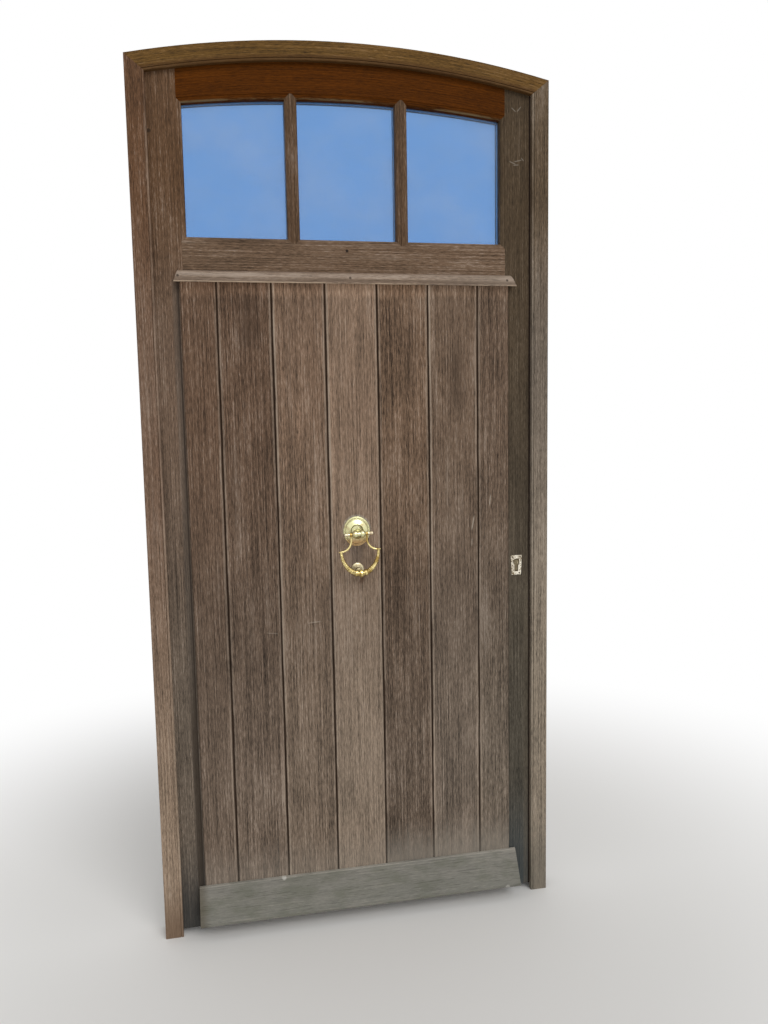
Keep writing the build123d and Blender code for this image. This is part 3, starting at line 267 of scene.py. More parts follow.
class Timber(Finish):
    """Weathered, stained timber.

    The colours foot and top meet over the heights of span, and high is the colour
    under the arch, darkened with painted shade from the arch. The contrast is that of
    the grain, grey says how far the weather has bleached it, and sheen how much it shines.
    """

    def __init__(self, name, run, seed, foot, top, span=(0.1, 1.9), contrast=1.0, grey=0.3,
                 sheen=0.18, high=None):
        super().__init__(name, {"Specular IOR Level": sheen})
        self.outside = 1 - self.y.fade(*STREET_FACE)
        self.lay_grain(run, seed)
        light = (self.fibre - 0.5) * 3.4 + (self.vein - 0.5) * 2.3 + (self.streak - 0.5)
        light = light + (self.rings - 0.5) * 0.18 + (self.cloud - 0.5) * 1.2
        base = self.blend(self.z.fade(*span), foot, top)
        # Under the arch the colour turns to high: partly a warmer brown, partly painted shade.
        if high:
            base = self.blend(self.z.fade(*ARCH_SHADE_SPAN), base, high)
        tone = 1.04 + light * contrast - self.pores * 0.25
        self.colour = self.scaled(base, tone.maths("MAXIMUM", 0.2))
        weather = (self.streak - 0.5) * 2.4 + (self.cloud - 0.5) * 1.8 + (self.fibre - 0.5)
        self.paint(weather.fade(0.0, 0.8) * grey, Vector(top).lerp(GREYED, 0.45))
        self.paint(light.fade(0.2, 0.95) * grey * 1.6, BLEACHED)

    def lay_grain(self, run, seed):
        """Find the way across and along the grain, and lay the noises on it."""
        if run == "up":
            self.across, along = self.x, self.z
        elif run == "level":
            self.across, along = self.z, self.x
        else:
            rise = self.z - ARCH_CENTRE_Z
            self.across = (self.x * self.x + rise * rise).maths("SQRT")
            along = self.x.maths("ARCTAN2", rise) * ARCH_RADIUS
        sockets = {"X": self.across + seed, "Y": self.y, "Z": along + 3.7 * seed}
        grain = self.node("ShaderNodeCombineXYZ", {}, sockets)
        self.fibre = self.noise(grain, (620, 620, 60), 4.0, 0.75)
        self.vein = self.noise(grain, (380, 380, 3.5), 4.0, 0.65)
        self.streak = self.noise(grain, (130, 130, 2.6), 5.0, 0.72)
        self.cloud = self.noise(grain, (17, 17, 5), 3.0, 0.6)
        self.pores = self.noise(grain, (560, 560, 26), 1.0).fade(0.6, 0.74)
        bend = self.noise(grain, (12, 12, 0.9), 2.0, 0.4)
        wave = (self.across + bend * RING_BEND) * (2 * math.pi / RING_WIDTH)
        self.rings = wave.maths("SINE") * 0.5 + 0.5

    def paint(self, mask, colour):
        """Lay a colour over the timber where the mask says."""
        self.colour = self.blend(mask, self.colour, colour)

    def brighten(self, amount):
        """Make the timber lighter by a share of itself, or darker where it is negative."""
        self.colour = self.scaled(self.colour, 1 + amount)

    def band(self, wire, at, half_width, broken=0.0):
        """A stripe about a value of a coordinate; broken makes the fibres interrupt it."""
        stripe = 1 - (abs(wire - at) / half_width).fade(0.4, 1.0)
        if broken:
            patchy = self.fibre * 0.4 + self.cloud * 0.6
            stripe = stripe * patchy.fade(0.5 - broken * 0.2, 0.5 + broken * 0.12)
        return stripe

    def below(self, start, end):
        """1 up to one height, fading to 0 at a second height."""
        return 1 - self.z.fade(start, end)

    def spot(self, x, z, radius):
        """A round mark on the street face: 1 in its middle and 0 at its edge."""
        beside, above = self.x - x, self.z - z
        away = (beside * beside + above * above).maths("SQRT")
        return (1 - away.fade(radius * 0.5, radius)) * self.outside

    def stroke(self, x, z, lean, half_length, half_width):
        """A scratch on the street face, leaning so many degrees from level."""
        cosine, sine = math.cos(math.radians(lean)), math.sin(math.radians(lean))
        beyond = abs((self.x - x) * cosine + (self.z - z) * sine) / half_length
        beside = abs((self.z - z) * cosine - (self.x - x) * sine) / half_width
        return (1 - beyond.fade(0.4, 1.0)) * (1 - beside.fade(0.2, 1.0)) * self.outside

    def coat(self, *names):
        """Join the timber's colour and grain to the shader, and give it to CAD nodes."""
        height = self.fibre * 0.6 + self.streak * 0.6 + self.rings * 0.18 - self.pores * 0.5
        self.shade(self.colour, 0.85 - self.streak * 0.2, height, GRAIN_DEPTH)
        super().coat(*names)


print("timber is ready to use")

# %% [markdown]
# ## The frame
#
# Under the arch the frame is a darker warm brown, partly its own colour and partly
# painted shade, and towards the ground it has bleached, more on the right than on the
# left, so each jamb has a colour for its foot, its middle and its top. Its sight edge
# carries a small bead, and a pale painted highlight runs along the bead.

# %% Jamb timber
BEAD_HIGHLIGHT_AT = 0.0023  # from the sight edge to the middle of the painted highlight
BEAD_HALF = 0.0028

left_jamb = Timber("frame left", "up", 0.31, foot=(0.268, 0.195, 0.137),
                   top=(0.154, 0.094, 0.061), span=(0.1, 1.2), high=(0.124, 0.061, 0.029))
# a painted highlight along the bead of the sight edge
left_bead_highlight = left_jamb.band(left_jamb.x, -SIGHT_HALF - BEAD_HIGHLIGHT_AT, BEAD_HALF, 1.0)
left_jamb.paint(left_bead_highlight * 0.25, (0.42, 0.33, 0.25))
left_jamb.paint(left_jamb.below(0.02, 0.16) * 0.8, (0.17, 0.11, 0.07))
left_jamb.coat("frame_facing_left", "frame_lining_left")

right_jamb = Timber("frame right", "up", 0.83, foot=(0.26, 0.211, 0.158),
                    top=(0.16, 0.127, 0.097), span=(0.5, 1.45), high=(0.114, 0.077, 0.045))
# a painted highlight along the bead of the sight edge
right_bead_highlight = right_jamb.band(right_jamb.x, SIGHT_HALF + BEAD_HIGHLIGHT_AT, BEAD_HALF, 1.0)
right_jamb.paint(right_bead_highlight * 0.25, (0.42, 0.36, 0.29))
right_jamb.paint(right_jamb.below(0.0, 0.3) * 0.6, (0.13, 0.12, 0.098))
right_jamb.coat("frame_facing_right", "frame_lining_right")

# %% Head timber
HEAD_BROWN = (0.13, 0.066, 0.014)
head = Timber("frame arch", "round", 1.37, foot=HEAD_BROWN, top=HEAD_BROWN, grey=0.12)
# a painted highlight along the bead of the head
head_bead_highlight = head.band(head.across, ARCH_RADIUS + BEAD_HIGHLIGHT_AT, BEAD_HALF, 0.9)
head.paint(head_bead_highlight * 0.3, (0.3, 0.2, 0.09))
# painted shade on the head near its sight edge, under the arch
head_edge_shade = 1 - head.across.fade(ARCH_RADIUS + 0.004, ARCH_RADIUS + 0.019)
head.paint(head_edge_shade * 0.7, (0.066, 0.026, 0.006))
head.coat("frame_facing_arch", "frame_lining_arch")

# %% [markdown]
# ## Stiles and rails
#
# The left stile is the brown of the boards, with a greyer strip beside them under
# the moulding and a painted shadow along the boards' edge that deepens low down.
# The right stile has stayed dark, nearly black at its foot, and a painted shadow
# darkens the narrow gap along the frame. The rails lie level. The top rail is the
# warmest piece of the door, its brown darkened with painted shade from the arch, and
# a painted highlight runs pale along its moulded lip.

# %% Left stile
BOARDS_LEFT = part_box("board_1")[0].x
drip_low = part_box("drip_moulding")[0]

left_stile = Timber("stile left", "up", 2.11, foot=(0.133, 0.103, 0.077),
                    top=(0.158, 0.102, 0.068), span=(0.5, 1.4), contrast=0.9,
                    high=(0.118, 0.062, 0.03))
under_drip = left_stile.below(drip_low.z - 0.013, drip_low.z + 0.027)
# The first band is the greyer strip; the two dark ones are a painted shadow along the boards'
# edge.
for from_boards, half_width, strength, colour in (
    (0.01, 0.012, 0.5, (0.085, 0.068, 0.054)),
    (0.007, 0.006, 0.3, (0.02, 0.016, 0.012)),
    (0.0045, 0.003, 0.7, (0.02, 0.014, 0.01)),
):
    strip_and_shadow = left_stile.band(left_stile.x, BOARDS_LEFT - from_boards, half_width)
    left_stile.paint(strip_and_shadow * under_drip * strength, colour)
left_stile.paint(left_stile.below(0.0, 0.3) * 0.85, (0.038, 0.041, 0.041))
# a painted shadow along the boards' edge, deepest low down
low_edge_shadow = left_stile.band(left_stile.x, BOARDS_LEFT - 0.0105, 0.01) * left_stile.below(0.5, 0.8)
left_stile.paint(low_edge_shadow * 0.65, (0.032, 0.022, 0.014))
left_stile.paint(left_stile.spot(-0.4535, 1.928, 0.006) * 0.85, (0.03, 0.018, 0.01))
left_stile.coat("stile_left")

# %% Right stile
SCUFF, SCUFF_HALF = (0.42, 0.38, 0.32), 0.0017
SCUFFS = (  # x, z, lean in degrees, half length
    (0.414, 2.018, -40, 0.009), (0.428, 2.02, 50, 0.01),
    (0.411, 1.893, -22, 0.011), (0.425, 1.898, 14, 0.013),
    (0.437, 1.902, -48, 0.006), (0.42, 1.888, 5, 0.009),
)
right_stile = Timber("stile right", "up", 2.93, foot=(0.075, 0.065, 0.049),
                     top=(0.07, 0.046, 0.025), contrast=0.9, grey=0.1)
right_stile.paint(right_stile.below(0.0, 0.35) * 0.75, (0.05, 0.064, 0.07))
worn_edge = right_stile.band(right_stile.x, SIGHT_HALF - 0.01, 0.009, 1.0)
right_stile.paint(worn_edge * right_stile.below(0.65, 1.0) * 0.4, (0.17, 0.135, 0.095))
gap_shade = right_stile.band(right_stile.x, SIGHT_HALF - 0.0008, 0.0036)
right_stile.paint(gap_shade, (0.017, 0.008, 0.005))
for scuff in SCUFFS:
    right_stile.paint(right_stile.stroke(*scuff, SCUFF_HALF) * 0.35, SCUFF)
right_stile.coat("stile_right")

# %% Rails and glazing bars
# The top rail's brown is dark with painted shade from the arch.
SHADED_RAIL_BROWN, BAR_BROWN = (0.076, 0.021, 0.001), (0.108, 0.062, 0.033)
LIP_Y = -0.0105
top_rail = Timber("top rail", "round", 4.07, foot=SHADED_RAIL_BROWN, top=SHADED_RAIL_BROWN, contrast=0.8,
                  grey=0.0, sheen=0.07)
# a painted highlight along the moulded lip
top_rail.paint(top_rail.band(top_rail.y, LIP_Y, 0.0032, 0.3) * 0.85, (0.19, 0.135, 0.07))
top_rail.coat("top_rail")

rail = Timber("rails", "level", 5.21, foot=(0.12, 0.09, 0.065), top=(0.142, 0.087, 0.052))
rail.paint(rail.spot(-0.0063, 1.673, 0.0045), (0.02, 0.012, 0.008))
rail.coat("middle_rail", "ledge_rail", "bottom_rail")

bars = Timber("glazing bars", "up", 6.43, foot=BAR_BROWN, top=BAR_BROWN)
bars.coat("glazing_bar_1", "glazing_bar_2", *[f"glazing_beads_{n}" for n in (1, 2, 3)])

# %% [markdown]
# ## The seven boards
# Boards cut from different planks never weather alike: the middle one is the
# palest, its right-hand neighbour is dark and streaky, and all of them are worn
# pale where rain splashes off the weatherboard. Each gets its own colours and its
# own seed, so no two share a pattern. Some have a patch that is darker or lighter
# than the rest, a crease or a scratch, and these are listed at their places.
# than the rest, a crease or a scratch, and these are laid by hand at their places.
# Dirt fills the joints, and a thin pale line beside it is a painted highlight on the
# arris of each board. Both wander a little, as a real joint does. Just under the
# drip moulding the boards are painted lighter, against the moulding's shadow.

# %% Colours of the boards
BOARD_TONES = [  # foot, top, contrast
    ((0.147, 0.106, 0.077), (0.132, 0.078, 0.048), 0.95),
    ((0.142, 0.103, 0.075), (0.124, 0.074, 0.046), 1.15),
    ((0.17, 0.125, 0.09), (0.176, 0.111, 0.072), 1.1),
    ((0.238, 0.181, 0.133), (0.222, 0.147, 0.099), 0.9),
    ((0.113, 0.081, 0.058), (0.158, 0.098, 0.061), 1.25),
    ((0.16, 0.123, 0.093), (0.147, 0.096, 0.063), 1.0),
    ((0.146, 0.114, 0.085), (0.132, 0.086, 0.057), 1.15),
]
print("boards:", len(BOARD_TONES))

# %% Marks and patches of the boards
PALE_MARK, DARK_MARK = (0.5, 0.44, 0.36), (0.03, 0.02, 0.014)
MARKS = {  # x, z, lean in degrees, half length, strength, colour
    2: [(-0.213, 0.753, -8, 0.018, 0.18, PALE_MARK), (-0.215, 0.7495, -8, 0.018, 0.2, DARK_MARK)],
    3: [(-0.1075, 0.774, 4, 0.02, 0.25, PALE_MARK), (-0.11, 0.77, 4, 0.018, 0.3, DARK_MARK),
        (-0.147, 0.506, 80, 0.016, 0.6, DARK_MARK)],
    4: [(-0.029, 0.965, 60, 0.004, 0.9, PALE_MARK), (-0.028, 0.956, 20, 0.003, 0.9, PALE_MARK)],
    5: [(0.102, 0.8505, -3, 0.022, 0.35, DARK_MARK), (0.12, 0.62, 5, 0.014, 0.3, DARK_MARK)],
    6: [(0.303, 1.005, 80, 0.022, 0.5, PALE_MARK), (0.3, 0.956, 86, 0.012, 0.5, PALE_MARK)],
    7: [(0.349, 1.062, 84, 0.018, 0.5, PALE_MARK)],
}
PATCHES = {  # x, z, half height, half width, brightness
    2: [(-0.243, 1.505, 0.085, 0.045, 0.7), (-0.29, 1.12, 0.16, 0.02, 0.85)],
    3: [(-0.134, 1.25, 0.09, 0.012, 1.25), (-0.17, 1.15, 0.2, 0.008, 1.2)],
    4: [(0.0125, 1.53, 0.06, 0.01, 1.22), (-0.052, 1.25, 0.25, 0.008, 1.2)],
    5: [(0.14, 1.42, 0.12, 0.03, 0.8), (0.089, 0.63, 0.14, 0.003, 1.5),
        (0.106, 0.66, 0.1, 0.0025, 1.4)],
    6: [(0.262, 1.37, 0.11, 0.03, 0.72), (0.2, 1.5, 0.08, 0.006, 1.3)],
}
print("marks:", sum(map(len, MARKS.values())), "patches:", sum(map(len, PATCHES.values())))

# %% Joints between the boards
JOINT_DIRT, ARRIS_HIGHLIGHT = (0.042, 0.025, 0.015), (0.38, 0.3, 0.23)
JOINT_WANDER = 0.007
TONGUE = 0.007
LAST_JOINT_X = 0.35
BRIGHT_ARRIS_BOARDS = (3, 4, 6)


def dress_joints(board, number):
    """Dirt in the joints beside a board, and a painted highlight on the arris along them."""
    low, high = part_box(f"board_{number}")
    wandering = board.x + (board.cloud - 0.5) * JOINT_WANDER
    for edge, inward in ((low.x, 1), (high.x - TONGUE, -1)):
        if abs(edge) < LAST_JOINT_X:
            arris_shine = 0.9 if inward > 0 and number in BRIGHT_ARRIS_BOARDS else 0.45
            # a painted highlight on the arris beside each joint
            arris = board.band(wandering, edge + inward * 0.0042, 0.003, 1.0)
            board.paint(arris * arris_shine, ARRIS_HIGHLIGHT)
            board.paint(board.band(wandering, edge, 0.0027) * 0.88, JOINT_DIRT)


print("joints end at", LAST_JOINT_X, "m each way")

# %% The board behind the knocker
KNOCKER_X, KNOCKER_Z = 0.002, 0.997
ROSE_HALF_WIDTH, ROSE_HALF_HEIGHT = 0.033, 0.0365


def tarnish_round_rose(board):
    """The pale polish that has dried round the rose, and the stains inside the ring."""
    wide, high = (board.x - KNOCKER_X) / ROSE_HALF_WIDTH, (board.z - KNOCKER_Z) / ROSE_HALF_HEIGHT
    from_middle = (wide * wide + high * high).maths("SQRT")
    rim = 1 - abs(from_middle - 1.04).fade(0.02, 0.16)
    polish = rim * board.fibre.fade(0.35, 0.6) * high.fade(-0.6, 0.8)
    board.paint(polish * board.outside * 0.6, (0.5, 0.47, 0.4))
    board.paint(board.stroke(0.014, 0.877, 75, 0.018, 0.009) * 0.6, (0.07, 0.03, 0.014))
    board.paint(board.stroke(0.0, 0.938, 90, 0.034, 0.026) * 0.4, (0.055, 0.05, 0.05))


print("knocker at", KNOCKER_X, KNOCKER_Z)

# %% Board timber
UPRIGHT = 90
SPLASH_PALE = (0.27, 0.24, 0.2)
DARKER_BAND_Z, DARKER_BAND_HALF = 0.775, 0.2  # the height at which the boards are a little darker
for number, (foot, top, contrast) in enumerate(BOARD_TONES, 1):
    board = Timber(f"board {number}", "up", 7.0 + 1.83 * number, foot, top, span=(0.3, 1.4),
                   contrast=contrast)
    dress_joints(board, number)
    # Painted light: just under the drip moulding the boards are made lighter, against the
    # moulding's shadow.
    painted_lift_under_drip = board.z.fade(drip_low.z - 0.038, drip_low.z - 0.001)
    board.brighten(painted_lift_under_drip - board.band(board.z, DARKER_BAND_Z, DARKER_BAND_HALF) * 0.13)
    for x, z, half_height, half_width, brightness in PATCHES.get(number, ()):
        patch = board.stroke(x, z, UPRIGHT, half_height, half_width) * board.fibre.fade(0.25, 0.6)
        board.brighten(patch * (brightness - 1))
    splash = 1 - (board.z + board.streak * 0.12).fade(0.17, 0.3)
    board.paint(splash * (0.3 if number < 5 else 0.6), SPLASH_PALE)
    for x, z, lean, half_length, strength, colour in MARKS.get(number, ()):
        mark = board.stroke(x, z, lean, half_length, half_length * 0.12)
        board.paint(mark * strength, colour)
    if number == 4:
        tarnish_round_rose(board)
    board.coat(f"board_{number}")

# %% [markdown]
# ## Drip moulding and weatherboard
#
# The moulding over the boards takes the full sun and has bleached; the board at
# the foot takes the splash and has gone grey-green. Both have level grain. Along the
# moulding a dark band is painted shade under its lip, and two pale bands are painted
# highlights on its arrises. Small dark dots show where nails hold the moulding.

# %% Drip moulding
DRIP_PALE = (0.245, 0.177, 0.128)
drip = Timber("drip moulding", "level", 21.3, foot=DRIP_PALE, top=DRIP_PALE, contrast=0.8,
              grey=0.45)
drip.paint(drip.x.fade(0.1, 0.42) * 0.3, (0.36, 0.3, 0.24))
# The first band is painted shade under the lip; the other two are painted highlights on the
# arrises.
for above_edge, half_width, broken, strength, colour in (
    (0.006, 0.007, 0.0, 0.4, (0.12, 0.08, 0.055)),
    (0.0195, 0.007, 0.5, 0.6, (0.46, 0.37, 0.3)),
    (0.0008, 0.0022, 0.4, 0.6, (0.55, 0.42, 0.3)),
):
    stripe = drip.band(drip.z, drip_low.z + above_edge, half_width, broken)
    drip.paint(stripe * strength, colour)
for nail_x in (-0.403, -0.003, 0.39):
    drip.paint(drip.spot(nail_x, drip_low.z + 0.014, 0.004) * 0.8, (0.04, 0.028, 0.02))
drip.coat("drip_moulding")

# %% Weatherboard
weather_low, weather_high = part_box("weatherboard")
foot_board = Timber("weatherboard", "level", 23.9, foot=(0.176, 0.172, 0.148),
                    top=(0.2, 0.19, 0.165), span=(0.03, 0.13), contrast=0.26, grey=0.13)
algae = foot_board.noise(foot_board.place, (11, 11, 26), 4.0, 0.65)
foot_board.paint(algae.fade(0.42, 0.66) * 0.45, (0.115, 0.12, 0.085))
bleach = foot_board.noise(foot_board.place, (17, 17, 40), 4.0, 0.7)
foot_board.paint(bleach.fade(0.5, 0.68) * 0.3, (0.25, 0.235, 0.205))
top_edge = foot_board.band(foot_board.z, weather_high.z + 0.0005, 0.004, 1.0)
foot_board.paint(top_edge * 0.7, (0.4, 0.37, 0.32))
foot_board.paint(foot_board.spot(-0.204, 0.121, 0.007) * 0.7, (0.55, 0.53, 0.48))
foot_board.paint(foot_board.spot(0.378, 0.04, 0.008) * 0.5, (0.5, 0.48, 0.44))
left_end = 1 - foot_board.x.fade(weather_low.x + 0.002, weather_low.x + 0.029)
foot_board.paint(left_end * 0.55, (0.08, 0.06, 0.035))
foot_board.coat("weatherboard")

# %% [markdown]
# ## Glass
#
# The panes are sealed units: two sheets with a spacer between them. From the
# street they are more mirror than window, and the sky they mirror looks a light,
# cool blue, so the sheets and their gloss get that tint: a painted reflection. A
# clear sheet seen in a path-traced picture is cheapest as a mix of see-through and
# gloss. The Fresnel node would mistake the far side of a sheet for the inside of a
# solid block and mirror everything there, so the share of gloss is worked out from
# Facing, which is the same on both sides. Faint dust lies on it as a thin matt film.

# %% Glass
HEAD_ON_MIRROR = 0.05  # what a sheet of glass mirrors when seen straight on
glass = Finish("pane glass", {"Base Color": (0.6, 0.7, 0.8)})
dust = glass.noise(glass.place, (4.5, 4.5, 6), 5.0, 0.55)
edge_on = glass.node("ShaderNodeLayerWeight", {}, {"Blend": 0.5}, out="Facing")
mirror_share = edge_on.maths("POWER", 5.0) * (1 - HEAD_ON_MIRROR) + HEAD_ON_MIRROR
# The blue of both shaders is a painted reflection of the sky.
see_through = glass.node("ShaderNodeBsdfTransparent", {}, {"Color": (0.6, 0.735, 0.88)})
gloss = glass.node("ShaderNodeBsdfGlossy", {}, {"Color": (0.8, 0.88, 1.0), "Roughness": 0.03})
clear = glass.node("ShaderNodeMixShader", {}, {0: mirror_share, 1: see_through, 2: gloss})
matt = glass.node("ShaderNodeBsdfDiffuse", {}, {"Color": (0.74, 0.82, 0.94)})
dusty = dust.fade(0.35, 0.85) * 0.16
glass.surface(glass.node("ShaderNodeMixShader", {}, {0: dusty, 1: clear, 2: matt}))
glass.coat("glass_pane_1", "glass_pane_2", "glass_pane_3")

# %% Spacers between the sheets
SPACER_GREY = (0.55, 0.56, 0.58)
spacer = Finish("spacer metal", {"Metallic": 1.0})
brushed = spacer.noise(spacer.place, (900, 900, 900), 2.0)
spacer_colour = spacer.scaled(SPACER_GREY, 0.8 + brushed * 0.4)
spacer.shade(spacer_colour, 0.35 + brushed * 0.2, brushed, 0.0001)
spacer.coat("glass_spacer_1", "glass_spacer_2", "glass_spacer_3")

# %% [markdown]
# ## Metals
#
# Brass is never one colour: it darkens where nobody rubs it and stays bright on
# the high places. One function makes every metal of the door from a bright tone,
# a dull tone and how far the dull tone has spread. Below a given height it can lay a
# browner tone; on the rose this is a painted reflection of the wooden door in its
# polished lower rim, with painted shade under the ring. Dirt gathers in hollows, and
# the Ambient Occlusion node finds them: it asks how much of the open a point can see
# within a few millimetres.

# %% Worn metal
def worn_metal(name, bright, dull, spread, roughness, nodes=(), low=None):
    """A metal that is bright in places and dull in others.

    A low height and its colour lay a browner tone from the metal's foot up; on the rose it is a
    painted reflection and shade.
    """
    metal = Finish(name, {"Metallic": 1.0})
    patches = metal.noise(metal.place, (45, 45, 45), 4.0, 0.6)
    grains = metal.noise(metal.place, (700, 700, 700), 2.0)
    mask = (patches + grains * 0.25).fade(0.78 - spread, 0.98 - spread)
    colour = metal.blend(mask, bright, dull)
    if low:
        height, painted_reflection_tone = low
        below = 1 - metal.z.fade(height - 0.009, height + 0.009)
        colour = metal.blend(below * 0.85, colour, painted_reflection_tone)
    openness = metal.node("ShaderNodeAmbientOcclusion", {"samples": 6}, {"Distance": 0.006},
                          out="AO")
    dirt = 1 - openness.fade(0.5, 0.95)
    colour = metal.blend(dirt * 0.85, colour, [part * 0.3 for part in dull])
    metal.shade(colour, roughness + mask * 0.25 + grains * 0.06, grains + patches, 0.00006)
    if nodes:
        metal.coat(*nodes)
    return metal


print("worn metal is ready to use")

# %% Hinges and lock
HINGES = (1, 2, 3)
hinge_nodes = [f"hinge_{part}_{n}" for n in HINGES for part in ("frame_half", "leaf_half", "pin")]
worn_metal("hinge metal", (0.52, 0.41, 0.24), (0.34, 0.26, 0.16), 0.3, 0.34, hinge_nodes)
lock_nodes = ["strike_plate", "lock_case", "lock_faceplate", "latch_bolt", "dead_bolt",
              "lock_follower", "lock_spindle"]
worn_metal("lock steel", (0.5, 0.5, 0.48), (0.34, 0.33, 0.3), 0.25, 0.32, lock_nodes)
fitting_nodes = ["cylinder_cam", "thumbturn", "inside_plate", "inside_knob"]
worn_metal("inside brass", (0.72, 0.53, 0.25), (0.45, 0.32, 0.15), 0.22, 0.24, fitting_nodes)
worn_metal("cylinder metal", (0.52, 0.44, 0.29), (0.2, 0.16, 0.1), 0.36, 0.36,
           ["cylinder_body", "cylinder_plug"])

# %% Knocker
ring_brass = worn_metal("ring brass", (1.0, 0.84, 0.4), (0.48, 0.33, 0.1), 0.24, 0.1,
                        ["knocker_ring"])
# Below the given height the rose gets a painted reflection of the wood and painted shade.
rose_brass = worn_metal("rose brass", (0.8, 0.77, 0.44), (0.53, 0.43, 0.24), 0.17, 0.26,
                        ["knocker_rose"], low=(0.979, (0.64, 0.4, 0.19)))
worn_metal("pin brass", (0.98, 0.9, 0.66), (0.6, 0.45, 0.28), 0.15, 0.2,
           ["knocker_pin", "knocker_nuts"])
worn_metal("stud bronze", (0.74, 0.65, 0.42), (0.36, 0.3, 0.19), 0.25, 0.35,
           ["knocker_strike"])

# %% [markdown]
# ## The outer plate
#
# The small plate round the lock cylinder has lost most of its lacquer. What is
# left is a dull ivory film, with bare metal and dirt where it has flaked.

# %% Ivory film on the outer plate
plate = Finish("outer plate film", {})
ivory = plate.noise(plate.place, (260, 260, 260), 5.0, 0.7).fade(0.42, 0.5)
worn = plate.noise(plate.place, (90, 90, 90), 3.0).fade(0.35, 0.7)
ivory_colour = plate.blend(worn, (0.97, 0.9, 0.75), (0.56, 0.48, 0.36))
plate.put(plate.shader.inputs["Metallic"], 1 - ivory)
plate_colour = plate.blend(ivory, (0.2, 0.15, 0.09), ivory_colour)
plate.shade(plate_colour, 0.6 - ivory * 0.2, ivory, 0.0002)
plate.coat("outer_plate")

# %% [markdown]
# ## Smooth turned pieces
#
# A packed solid arrives as loose, flat triangles, and a turned knob then shows its
# facets. A copy whose doubled points are merged can be shaded smoothly, and stays
# crisp wherever two faces meet at a clear angle. The copy stands for the node,
# which is still there for the sums on motion.

# %% A new piece on its body
SLOTS = {part["node"]: part["material_slot"] for part in frame["record"]["subparts"]}


def add_piece(name, mesh, body, slot, *stands_for):
    """Put a finished mesh in the scene and on its body; slot is not used."""
    piece = bpy.data.objects.new(name, mesh)
    scene.collection.objects.link(piece)
    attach(piece, body)
    if stands_for:
        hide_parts(*stands_for)
    print(name, "has", len(mesh.polygons), "faces and rides on", body)


print("slots:", sorted(set(SLOTS.values())))

# %% Smooth copies
MERGE = 0.00001  # points nearer than this are one
CRISP = math.radians(35)


def smooth_copy(node):
    """A merged and smoothly shaded copy of a CAD node, with its finish."""
    source = frame["nodes"][node]
    mesh = source.data.copy()
    if "custom_normal" in mesh.attributes:
        mesh.attributes.remove(mesh.attributes["custom_normal"])
    shape = bmesh.new()
    shape.from_mesh(mesh)
    bmesh.ops.remove_doubles(shape, verts=shape.verts, dist=MERGE)
    for face in shape.faces:
        face.smooth = True
    for edge in shape.edges:
        edge.smooth = edge.calc_face_angle(0.0) < CRISP
    shape.to_mesh(mesh)
    shape.free()
    add_piece(f"{node}_smooth", mesh, body_of(source)[0], SLOTS[node], node)


for node in ["knocker_ring", "knocker_pin", "knocker_rose", "knocker_strike", "knocker_nuts",
             "inside_knob", "thumbturn", "hinge_pin_1", "hinge_pin_2", "hinge_pin_3"]:
    smooth_copy(node)

# %% [markdown]
# ## Carving on the knocker
#
# The ring's bow is cut like rope between its collars, and the rose has a rope edge.
# Each strand is a small closed form. For the bow, a thin wire ring is spun once and
# copied along the bow, leaning over, so that it wraps round as a strand does. For
# the rose, a small stretched ball is copied round the oval. A displaced surface
# would need many more faces for the same look.

# %% Copies of a small form
def placed_copies(name, form, places, body, slot, finish):
    """One piece made of copies of a small mesh."""
    shape = bmesh.new()
    for place in places:
        before = len(shape.verts)
        shape.from_mesh(form)
        shape.verts.ensure_lookup_table()
        bmesh.ops.transform(shape, matrix=place, verts=shape.verts[before:])
    mesh = bpy.data.meshes.new(name)
    shape.to_mesh(mesh)
    shape.free()
    mesh.materials.append(finish.material)
    add_piece(name, mesh, body, slot)


def form_from(shape, name, smooth=True):
    """Turn a bmesh into a mesh whose faces point outwards."""
    bmesh.ops.remove_doubles(shape, verts=shape.verts, dist=MERGE)
    bmesh.ops.recalc_face_normals(shape, faces=shape.faces)
    for face in shape.faces:
        face.smooth = smooth
    form = bpy.data.meshes.new(name)
    shape.to_mesh(form)
    shape.free()
    print("faces of a", name, len(form.polygons))
    return form


# %% The line of the bow
PIN_Y, PIN_Z = -0.049, 0.9935
BOW_HALF_WIDTH, BOW_TOP, BOW_DEPTH = 0.0465, 0.041, 0.057
BOW_THIN, BOW_SWELL = 0.0032, 0.0032
to_rose = Matrix.Translation((KNOCKER_X, 0, KNOCKER_Z))
TILT = to_rose @ Matrix.Rotation(math.radians(-2.5), 4, "Y") @ to_rose.inverted()


def bow_point(turn):
    """The bow's centre line and its radius, at a turn in degrees from its right end."""
    angle = math.radians(turn)
    down = BOW_TOP + BOW_DEPTH * math.sin(angle)
    point = Vector((KNOCKER_X + BOW_HALF_WIDTH * math.cos(angle), PIN_Y, PIN_Z - down))
    return point, BOW_THIN + BOW_SWELL * math.sin(angle) ** 1.5


print("lowest point of the bow:", bow_point(90)[0])

# %% One strand
wire_ring = bmesh.new()
on_edge = Matrix.Translation((1, 0, 0)) @ Matrix.Rotation(math.pi / 2, 4, "X")
bmesh.ops.create_circle(wire_ring, segments=6, radius=0.15, matrix=on_edge)
bmesh.ops.spin(wire_ring, geom=wire_ring.verts[:] + wire_ring.edges[:], cent=(0, 0, 0),
               axis=(0, 0, 1), angle=2 * math.pi, steps=18, use_merge=True)
strand = form_from(wire_ring, "strand")

